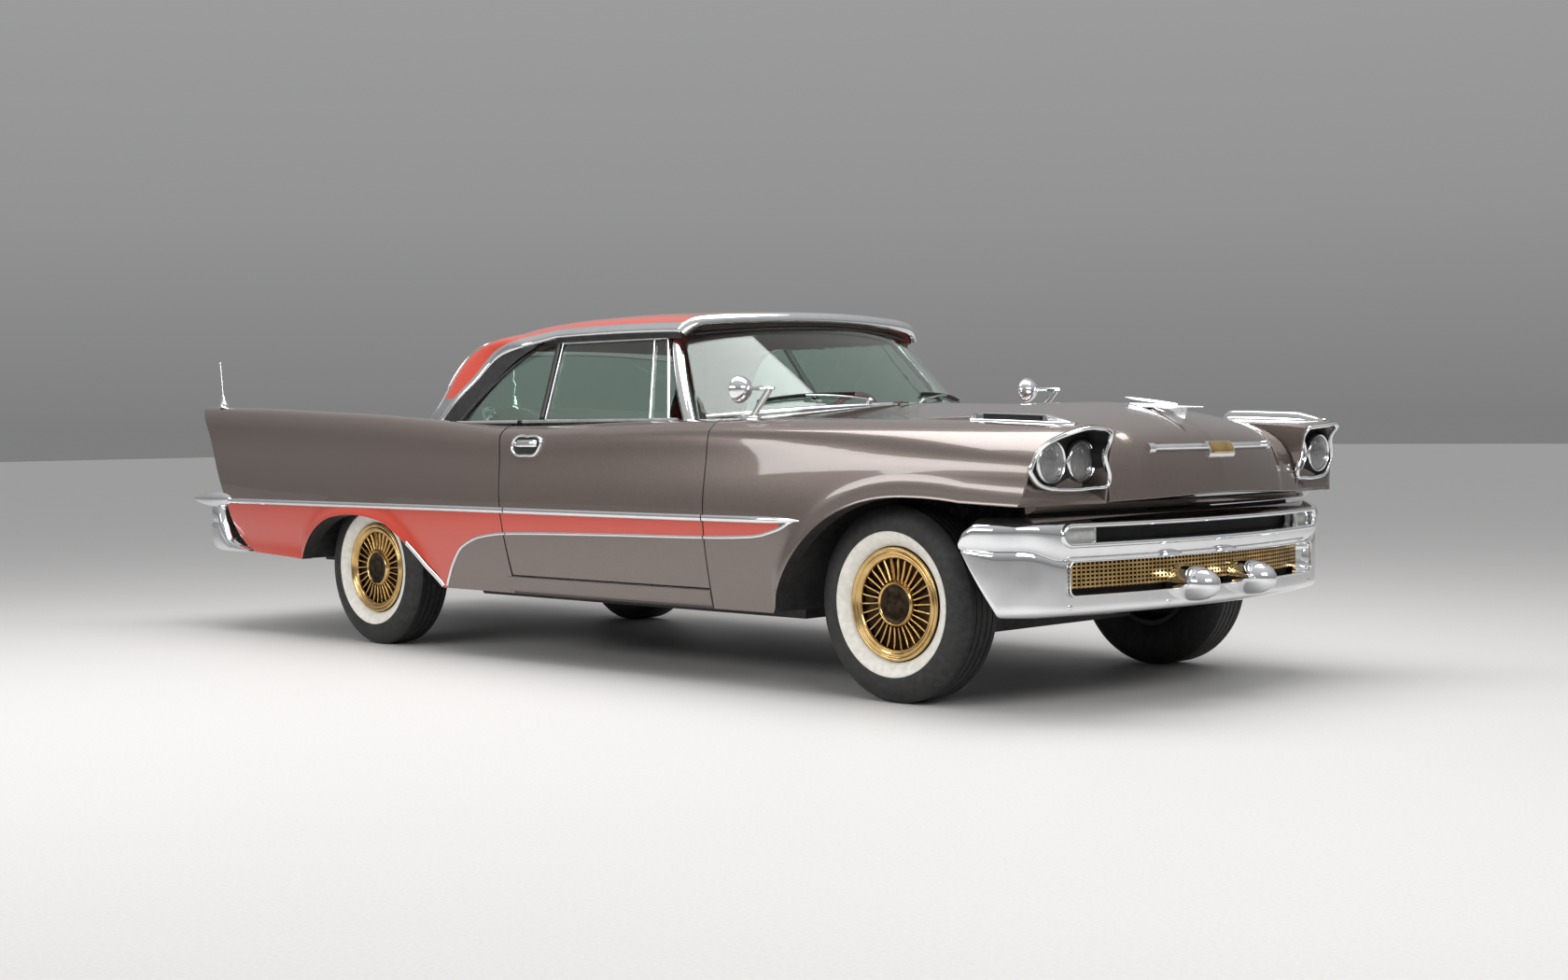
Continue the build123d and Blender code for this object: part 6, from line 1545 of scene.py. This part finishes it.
for label, side in SIDES:
    lenses, rings = [], []
    for w, down in ((0.838, -0.150), (0.852, -0.030), (0.868, 0.090)):
        spot = TAIL_MID + TAIL_DOWN * down + Vector((0, side * w, 0))
        lenses.append(turned(LENS_DOME, 36, spot, TAIL_OUT))
        rings.append(turned(LENS_RING, 36, spot, TAIL_OUT))
        rings.append(turned(LENS_TIP, 20, spot, TAIL_OUT))
    outline = []
    for turn in turns(FRAME_STEPS):
        long = FRAME_LONG * signed_power(math.sin(turn), 0.8)
        wide = FRAME_WIDE * signed_power(math.cos(turn), 0.6)
        outline.append(TAIL_MID + TAIL_DOWN * (long - 0.028) + Vector((0, side * (FRAME_W + wide + 0.12 * long), 0)))
    rings.append(ring_bar(outline, [TAIL_OUT] * FRAME_STEPS, 0.007, 0.012, 10))
    lens_piece = trim(f"tail_lenses_{label}", lenses, mat=RUBY)
    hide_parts("tail_lamps")
    trim(f"tail_lamp_rings_{label}", rings)

# Rear bumper: a rolled sheet with a groove along it and cut-back ends
REAR_PLAN = plan_line((rx(-880), -0.968), (rx(-1240), -0.950), (rx(-1330), -0.905), -2.776, (30, 81))
REAR_LOW = [(rx(-1000), 0.396), (rx(-900), 0.398), (rx(-880), 0.400)]
REAR_HIGH = [(rx(-1140), 0.640), (rx(-1106), 0.560), (rx(-1030), 0.454), (rx(-880), 0.412)]
REAR_SHARES, REAR_DEEP = np.linspace(1, 0, 25), 0.052
front_rows, back_rows = [], []
for i, (x, y) in enumerate(REAR_PLAN):
    out = -plan_normal(REAR_PLAN, i)
    low, high = look_up(x, REAR_LOW), look_up(x, REAR_HIGH)
    row = []
    for share in REAR_SHARES:
        push = -0.034 * abs(2 * share - 1) ** 5 - 0.012 * math.exp(-((share - 0.56) / 0.035) ** 2)
        row.append(Vector((x + out.x * push, y + out.y * push, mix(low, high, share))))
    front_rows.append(row)
    back_x, back_y = x - out.x * REAR_DEEP, y - out.y * REAR_DEEP
    back_rows.append([Vector((back_x, back_y, mix(low + 0.006, high - 0.006, s))) for s in REAR_SHARES])
rear_sheet = piece("rear_bumper_sheet", slab(front_rows, back_rows), "body", [CHROME], crease=60)
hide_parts("rear_bumper")
# Bullets at the bumper's ends point back under the tail lamps
BULLET_LINE = [(AXIS, 0.213), (0.006, 0.200), (0.014, 0.170), (0.022, 0.130), (0.029, 0.085), (0.035, 0.035),
               (0.0385, -0.015), (0.0385, -0.060), (0.036, -0.100), (0.031, -0.140), (0.022, -0.175), (0.012, -0.192),
               (AXIS, -0.197)]
trim("bumper_bullets", [turned(BULLET_LINE, 36, (rx(-1230), side * 0.944, 0.648), (-1, -side * 0.03, -0.012))
                        for side in (-1, 1)])

# Stone shields line the front foot of each rear arch, and a painted cover hides each rocker
SHIELD_ARCH = [p for p in REAR_ARCH if p[1] < 0.480 and p[0] > rx(300)]
ROCKER_HEIGHTS = np.linspace(SILL_Z + 0.002, 0.367, 8)
for label, side in SIDES:
    face, back = [], []
    for k, (x, z) in enumerate(SHIELD_ARCH):
        ahead = plan_normal(SHIELD_ARCH, k)
        fold = mix(0.3, 1, k / (len(SHIELD_ARCH) - 1))
        flare = LIP_FLARE * ease((z - SILL_Z) / 0.10) + 0.004
        row = []
        for off, deep in ((0.016, 0.0), (0.008, -0.001), (0.0, 0.0), (-0.004, 0.006), (-0.005, 0.030 * fold),
                          (-0.005, 0.070 * fold)):
            at_x, at_z = x + ahead.x * off, max(z + ahead.y * off, SILL_Z + 0.001)
            lift = flare if off > 0.01 else flare * math.exp(-((off / LIP_REACH) ** 2))
            row.append(Vector((at_x, side * (half_width(at_x, at_z) + lift - deep), at_z)))
        face.append(row)
        back.append([v + Vector((ahead.x * 0.004, -side * 0.004, ahead.y * 0.004)) for v in row])
    piece(f"stone_shield_{label}", slab(face, back), "body", [CHROME], crease=60)
    face = [[side_spot(x, z, side, 0.002 if k else -0.008)[0] for k, z in enumerate(ROCKER_HEIGHTS)]
            for x in columns((fx(-838), rx(1128), 0.06))]
    piece(f"rocker_cover_{label}", plate(face, (0, -side * 0.012, 0)), "body", [TAUPE], round_off=0.003)

# Splash pan from under the trunk lid down behind the bumper
pan = []
for y in np.linspace(-0.80, 0.80, 49):
    lip_x = float(LID_COLUMN[3](min(max(y, -LID_HALF), LID_HALF))) - 0.002
    bar_x = min(REAR_PLAN, key=lambda p: abs(p[1] - y) + (0 if p[0] < rx(-1300) else 9))[0] + 0.050
    pan.append([Vector((mix(lip_x, bar_x, t), y, mix(0.654, 0.540, t ** 1.7))) for t in np.linspace(0, 1, 14)])
piece("rear_splash_pan", plate(pan, (0.004, 0, -0.012)), "body", [TAUPE], round_off=0.003)


# Seats: padded cushions and backs, swollen by a cloth simulation and then sewn into channels
def rounded_box(size, cell, radius, crown=0.0):
    """A box from the middle of its base, with round edges and even cells, as vertices and faces."""
    counts = [max(2, round(s / cell)) for s in size]
    verts, faces = [], []
    for axis in range(3):
        a, b = [k for k in range(3) if k != axis]
        for end in (0, 1):
            base = len(verts)
            for i in range(counts[a] + 1):
                for j in range(counts[b] + 1):
                    spot = [0.0, 0.0, 0.0]
                    spot[axis], spot[a], spot[b] = end, i / counts[a], j / counts[b]
                    at = Vector([(t - 0.5) * s for t, s in zip(spot, size)])
                    core = Vector([min(max(c, -s / 2 + radius), s / 2 - radius) for c, s in zip(at, size)])
                    at = core + (at - core).normalized() * radius if (at - core).length > 1e-9 else at
                    at.z += size[2] / 2
                    if spot[2] > 0.5:
                        at.z += crown * math.sin(math.pi * spot[0]) * math.sin(math.pi * spot[1]) ** 0.5
                    verts.append(at)
            faces += skin_faces(counts[a] + 1, counts[b] + 1, start=base)
    return verts, faces


def placed(verts, origin, along, up):
    """Moves local points to the car: x runs along, y across, z up out of the pad's base."""
    along, up = Vector(along).normalized(), Vector(up).normalized()
    return [Vector(origin) + along * v.x + Vector((0, 1, 0)) * v.y + up * v.z for v in verts]


SWELL_CAP, SWELL_PRESSURE, SWELL_FRAMES = 0.012, 4.0, 20


def swell(pads):
    """Blows the pads up a little as cloth. Their bases are held, and no point moves further than the cap."""
    for obj, base in pads:
        held = obj.vertex_groups.new(name="held")
        held.add(base, 1.0, "ADD")
        rules = obj.modifiers.new("swell", "CLOTH").settings
        rules.quality, rules.mass, rules.vertex_group_mass = 5, 0.4, "held"
        rules.use_pressure, rules.uniform_pressure_force = True, SWELL_PRESSURE
        rules.effector_weights.gravity = 0
        rules.tension_stiffness = rules.compression_stiffness = 20
    for step in range(1, SWELL_FRAMES + 1):
        SCENE.frame_set(step)
    graph = bpy.context.evaluated_depsgraph_get()
    swollen = [[v.co.copy() for v in obj.evaluated_get(graph).data.vertices] for obj, _ in pads]
    for (obj, _), spots in zip(pads, swollen):
        obj.modifiers.remove(obj.modifiers["swell"])
        obj.vertex_groups.clear()
        for vert, spot in zip(obj.data.vertices, spots):
            step = spot - vert.co
            vert.co += step * min(1.0, SWELL_CAP / max(step.length, 1e-9))
    SCENE.frame_set(1)


# columns: name, node, middle of the base, along, size, border width
PADS = [
    ("front_cushion", "front_seat", (fx(-1694), 0, 0.530), (1, 0, 0.045), (0.440, 1.340, 0.056), 0.10),
    *((f"front_back_{label}", "front_seat", (fx(-2072), side * 0.340, 0.730), (0.21, 0, -0.98),
       (0.345, 0.660, 0.078), 0.07) for label, side in SIDES),
    ("rear_cushion", "rear_seat", (rx(822), 0, 0.470), (1, 0, 0.050), (0.380, 1.150, 0.100), 0.10),
    ("rear_back", "rear_seat", (rx(434), 0, 0.752), (0.34, 0, -0.94), (0.360, 1.150, 0.080), 0.10),
]
CHANNEL_GAP, CHANNEL_DEEP, CELL, END_BORDER = 0.062, 0.006, 0.014, 0.05
made_pads = []
for name, node_name, origin, along, size, border in PADS:
    verts, faces = rounded_box(size, CELL, 0.026, 0.014)
    origin, along = Vector(origin), Vector(along).normalized()
    out = Vector((-along.z, 0, along.x))
    picks = []
    for face in faces:
        mid = sum((verts[k] for k in face), Vector()) / len(face)
        inside = abs(mid.y) < size[1] / 2 - border and abs(mid.x) < size[0] / 2 - END_BORDER
        picks.append(int(mid.z > size[2] * 0.8 and inside))
    pad = piece(name, (placed(verts, origin, along, out), faces), "body", [SEAT_RED, SEAT_PALE], picks,
                crease=180)
    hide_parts(node_name)
    base = [v.index for v in pad.data.vertices if (v.co - origin).dot(out) < 0.008]
    made_pads.append((pad, base, origin, along, out, size, border))
swell([made[:2] for made in made_pads])
for pad, _, origin, along, out, size, border in made_pads:
    for vert in pad.data.vertices:
        at = vert.co - origin
        if at.dot(out) <= size[2] * 0.7:
            continue
        to_side, to_end = size[1] / 2 - border - abs(at.y), size[0] / 2 - END_BORDER - abs(at.dot(along))
        inside = ease(to_side / 0.02) * ease(to_end / 0.02)
        channel = math.exp(-((((at.y / CHANNEL_GAP + 0.5) % 1 - 0.5) * CHANNEL_GAP / 0.007) ** 2))
        seam = math.exp(-((min(abs(to_side), abs(to_end)) / 0.008) ** 2)) if to_end > -0.02 else 0
        vert.co -= out * CHANNEL_DEEP * max(channel * inside, seam)
    pad.data.update()
    pad.data.shade_smooth()

# Seat shells and bases under the pads. A block off the middle stands on both sides.
# columns: middle of the base, along, size
SEAT_SHELLS = {
    "front_seat": [((fx(-1700), 0, 0.505), (1, 0, 0.03), (0.470, 1.360, 0.030)),
                   ((fx(-2092), 0.340, 0.720), (0.14, 0, -0.99), (0.400, 0.664, 0.022)),
                   ((fx(-1780), 0.400, 0.357), (1, 0, 0), (0.400, 0.400, 0.152))],
    "rear_seat": [((rx(822), 0.385, 0.357), (1, 0, 0), (0.370, 0.390, 0.116)),
                  ((rx(420), 0, 0.752), (0.20, 0, -0.98), (0.380, 1.160, 0.024))],
}
for node_name, blocks in SEAT_SHELLS.items():
    parts = []
    for (x, y, z), along, size in blocks:
        verts, faces = rounded_box(size, 0.03, 0.011)
        along = Vector(along).normalized()
        for side in (-1, 1) if y else (0,):
            parts.append((placed(verts, (x, side * y, z), along, Vector((-along.z, 0, along.x))), faces))
    shell = piece(f"{node_name}_shell", merge(parts), "body", [SEAT_RED], crease=60)
    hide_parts(node_name)
side_trim = []
for side in (-1, 1):
    path = [(x, side * 0.682, 0.520) for x in np.linspace(fx(-1930), fx(-1475), 12)]
    side_trim.append(batten(path, (0, side, 0), 0.026, 0.005, sink=0.006, taper=(0.4, 0.4)))
trim("seat_side_trim", side_trim)

# Steering wheel: ribbed rim, two spokes, a bright horn ring and a domed hub
COLUMN_TOP, WHEEL_AXIS = Vector((fx(-1318), 0.372, 0.904)), Vector((-0.494, 0, 0.132)).normalized()
WHEEL_MID = COLUMN_TOP + WHEEL_AXIS * 0.028
WHEEL_UP = Vector((0, 1, 0)).cross(WHEEL_AXIS).normalized()
WHEEL_UP = WHEEL_UP if WHEEL_UP.z > 0 else -WHEEL_UP
WHEEL_RADIUS, HORN_RADIUS, SPOKE_TURN, RIM_STEPS, GRIP_RIBS = 0.205, 0.135, math.radians(78), 120, 40
HUB_LINE = [(AXIS, 0.026), (0.014, 0.025), (0.028, 0.020), (0.038, 0.012), (0.043, 0.002), (0.045, -0.010),
            (0.040, -0.024), (AXIS, -0.027)]
# columns: radius, lift towards the driver
SPOKE_LINE = ((0.036, -0.004), (0.075, 0.002), (0.120, 0.003), (0.165, 0.001), (0.200, 0.0))
HORN_ARM = ((0.030, 0.010), (0.080, 0.014), (HORN_RADIUS, 0.012))


def wheel_spot(turn, radius, lift=0.0):
    """A point on the steering wheel, turn from its top, lift towards the driver."""
    across_way = Vector((0, 1, 0)) * radius * math.sin(turn)
    return WHEEL_MID + WHEEL_UP * radius * math.cos(turn) + across_way + WHEEL_AXIS * lift


loops = []
for turn in turns(RIM_STEPS):
    spoke = (wheel_spot(turn, 1.0) - WHEEL_MID).normalized()
    size = 0.0122 + 0.0008 * math.cos(turn * GRIP_RIBS)
    loops.append([wheel_spot(turn, WHEEL_RADIUS) + spoke * size * math.cos(a) + WHEEL_AXIS * size * math.sin(a)
                  for a in turns(12)])
wheel_parts = [tube(loops, ring=True)]
for turn in (SPOKE_TURN, -SPOKE_TURN):
    path = [wheel_spot(turn, r, lift) for r, lift in SPOKE_LINE]
    wheel_parts.append(batten(path, WHEEL_AXIS, 0.030, 0.008, sink=0.007))
rim = trim("steering_rim", wheel_parts, "steering_wheel", PLASTIC)
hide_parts("steering_wheel")
horn = [rod([wheel_spot(math.radians(a), HORN_RADIUS, 0.012) for a in range(84, 277, 6)], 0.0045)]
for turn in (math.radians(84), math.radians(276)):
    horn.append(rod([wheel_spot(turn, r, lift) for r, lift in HORN_ARM], 0.004))
horn.append(turned(HUB_LINE, 36, WHEEL_MID, WHEEL_AXIS))
trim("horn_ring", horn, "steering_wheel")

# Instruments and trim on the dashboard
DIAL_OUT, DIAL_X, DIAL_Z = (-1, 0, 0.1), fx(-1124), 0.884
# columns: share of the dial's radius, place outward
DIAL_FACE = ((0.5, 0.0038), (0.86, 0.003), (0.9, -0.012))
DIAL_RING = ((0.84, 0.003), (0.88, 0.009), (0.95, 0.010), (1, 0.005), (1.02, -0.010), (0.85, -0.010))
dials, rings = [], []
for y, r in ((0.270, 0.040), (0.372, 0.056), (0.474, 0.040)):
    spot = Vector((DIAL_X, y, DIAL_Z))
    face = [(AXIS, 0.004)] + [(r * q, a) for q, a in DIAL_FACE] + [(AXIS, -0.012)]
    dials.append(turned(face, 36, spot, DIAL_OUT))
    rings.append(turned([(r * q, a) for q, a in DIAL_RING], 36, spot, DIAL_OUT))
    for k in range(-4, 5):
        turn = k * math.radians(28)
        mark = [spot + Vector((-0.0046, math.sin(turn) * r * q, math.cos(turn) * r * q)) for q in (0.60, 0.78)]
        rings.append(rod(mark, 0.0012, 6))
for x, z in ((-1122, 0.846), (-1122, 0.832), (-1119, 0.918)):
    path = [(fx(x), y, z) for y in np.linspace(-0.72, 0.16, 20)]
    rings.append(batten(path, (-1, 0, 0), 0.006, 0.005, sink=0.012))
for y in np.linspace(-0.06, 0.10, 9):
    rings.append(rod([(fx(x), y, z) for x, z in ((-1128, 0.860), (-1129, 0.880), (-1126, 0.902))], 0.003, 8))
trim("instrument_dials", dials, mat=BLACK_AND_SHADE)
trim("dashboard_trim", rings)

# Door trim panels: pleated cloth in a bright frame, with an armrest, a handle and a window crank
TRIM_REAR_X, TRIM_FRONT_X, TRIM_TOP, TRIM_FOOT = DOOR_REAR_X + 0.075, fx(-900), 0.930, 0.430
PLEAT_FOOT, PLEAT_TOP = 0.52, 0.76
# columns: x ahead of the front axle, half width, z
DOOR_PULL = ((-1330, 0.822, 0.800), (-1330, 0.800, 0.800), (-1338, 0.796, 0.800), (-1400, 0.794, 0.790))
DOOR_CRANK = ((-1180, 0.822, 0.640), (-1180, 0.800, 0.640), (-1170, 0.796, 0.625), (-1130, 0.794, 0.575),
              (-1130, 0.780, 0.575))
for label, side in SIDES:
    door = f"door_{label}"
    front, back = [], []
    for x in np.linspace(TRIM_REAR_X, TRIM_FRONT_X, 70):
        row = []
        for z in np.linspace(TRIM_TOP, TRIM_FOOT, 36):
            pleat = 0.004 * abs(math.sin(math.pi * x / 0.055)) if PLEAT_FOOT < z < PLEAT_TOP else 0.0
            edge = min(TRIM_TOP - z, z - TRIM_FOOT, x - TRIM_REAR_X, TRIM_FRONT_X - x)
            row.append(Vector((x, side * (0.836 - 0.010 * ease(edge / 0.02) - pleat), z)))
        front.append(row)
        back.append([Vector((v.x, side * 0.8375, v.z)) for v in row])
    verts, faces = slab(front, back)
    picks = [int(PLEAT_FOOT < (verts[f[0]].z + verts[f[2]].z) / 2 < PLEAT_TOP) for f in faces]
    piece(f"door_trim_{label}", (verts, faces), door, [SEAT_RED, SEAT_PALE], picks, crease=60)
    lines = []
    for z in (0.515, 0.765):
        path = [(x, side * 0.826, z) for x in np.linspace(DOOR_REAR_X + 0.09, fx(-915), 20)]
        lines.append(batten(path, (0, -side, 0), 0.012, 0.005))
    lines += [rod([(fx(x), side * w, z) for x, w, z in path], 0.006) for path in (DOOR_PULL, DOOR_CRANK)]
    trim(f"door_inner_handles_{label}", lines, door)
    verts, faces = rounded_box((0.340, 0.052, 0.048), 0.02, 0.018)
    verts = [Vector((fx(-1500) + v.x, side * (0.802 + v.y), 0.676 + v.z)) for v in verts]
    rest = piece(f"door_armrest_{label}", (verts, faces), door, [SEAT_RED], crease=60)

# Carried-over nodes: each gets its own finish, and sharp edges are rounded by the width beside it
KEPT = {
    "windshield": (TINTED, 0), "backlight": (TINTED, 0), "floor_pan": (CARPET, 0), "rear_panel": (TAUPE, 0.003),
    "cowl": (TAUPE, 0.003), "rear_deck": (TAUPE, 0.003), "frame": (CHASSIS, 0.004),
    "front_suspension": (STEEL, 0.003), "rear_axle": (CAST, 0.004), "leaf_springs": (STEEL, 0.002),
    "engine": (CAST, 0.006), "driveshaft": (STEEL, 0.002), "fuel_tank": (CHASSIS, 0.012),
    "steering_column": (PLASTIC, 0.002), "door_glass_right": (TINTED, 0), "door_glass_left": (TINTED, 0),
    "quarter_glass_right": (TINTED, 0), "quarter_glass_left": (TINTED, 0), "knuckle_right": (CAST, 0.003),
    "knuckle_left": (CAST, 0.003), "dashboard": (DASH, 0.004),
}
for name, (mat, edge) in KEPT.items():
    obj = NODES[name]
    obj.data.materials.clear()
    obj.data.materials.append(mat)
    if edge:
        soften(obj, edge, 50)

# Floor, light and camera
FLOOR_SIZE = 60.0
floor_mesh = bpy.data.meshes.new("studio_floor")
corners = [(x * FLOOR_SIZE, y * FLOOR_SIZE, 0) for x, y in ((-1, -1), (1, -1), (1, 1), (-1, 1))]
floor_mesh.from_pydata(corners, [], [(0, 1, 2, 3)])
floor = add("studio_floor", floor_mesh)
FLOOR = blank("floor_paint", (0.62, 0.61, 0.60), 0.55)
tint(FLOOR, grain(FLOOR, 90, 3), (0.60, 0.59, 0.58), (0.64, 0.63, 0.62))
floor_mesh.materials.append(FLOOR)

WORLD = bpy.data.worlds.new("studio")
SCENE.world = WORLD
WORLD.use_nodes = True
sky = node(WORLD, "ShaderNodeTexCoord")
split = node(WORLD, "ShaderNodeSeparateXYZ")
shade = node(WORLD, "ShaderNodeValToRGB")
backdrop = WORLD.node_tree.nodes["Background"]
for place, level in ((0.0, 0.30), (1.0, 0.95)):
    shade.color_ramp.elements[int(place)].color = (level, level, level * 1.01, 1)
for place, level in ((0.10, 0.42), (0.45, 0.62)):
    shade.color_ramp.elements.new(place).color = (level, level, level * 1.01, 1)
join(WORLD, sky.outputs["Generated"], split.inputs["Vector"])
join(WORLD, split.outputs["Z"], shade.inputs["Fac"])
join(WORLD, shade.outputs["Color"], backdrop.inputs["Color"])
backdrop.inputs["Strength"].default_value = 0.70
# columns: name, place, aim, width, height, watts
LAMPS = [
    ("overhead", (0.6, -0.6, 5.2), (0.2, -0.2, 0), 7.0, 2.6, 330),
    ("front", (6.5, -2.6, 3.4), (1.6, 0, 0.6), 3.4, 1.6, 120),
    ("side", (-0.6, -6.5, 2.8), (0.0, 0, 0.7), 7.0, 1.2, 150),
]
for name, place, aim, wide, high, watts in LAMPS:
    light = bpy.data.lights.new(name, "AREA")
    light.shape = "RECTANGLE"
    light.size, light.size_y, light.energy = wide, high, watts
    lamp = add(name, light)
    lamp.location = place
    lamp.rotation_euler = (Vector(aim) - Vector(place)).to_track_quat("-Z", "Y").to_euler()

CAMERA_PLACE = (6.8549, -6.3863, 0.9938)
CAMERA_TURN, CAMERA_TILT, CAMERA_ROLL = math.radians(-44.908), math.radians(-1.830), math.radians(-0.685)
PHOTO_WIDE, PHOTO_FOCUS, SENSOR = 1680, 2270.98, 36.0
lens = bpy.data.cameras.new("camera")
lens.sensor_width = SENSOR
lens.lens = SENSOR * PHOTO_FOCUS / PHOTO_WIDE
camera = add("camera", lens)
camera.location = CAMERA_PLACE
gaze = Vector((math.sin(CAMERA_TURN) * math.cos(CAMERA_TILT), math.cos(CAMERA_TURN) * math.cos(CAMERA_TILT),
               math.sin(CAMERA_TILT)))
camera.rotation_mode = "QUATERNION"
camera.rotation_quaternion = Quaternion(gaze, -CAMERA_ROLL) @ gaze.to_track_quat("-Z", "Y")
SCENE.camera = camera
SCENE.view_settings.view_transform = "Standard"
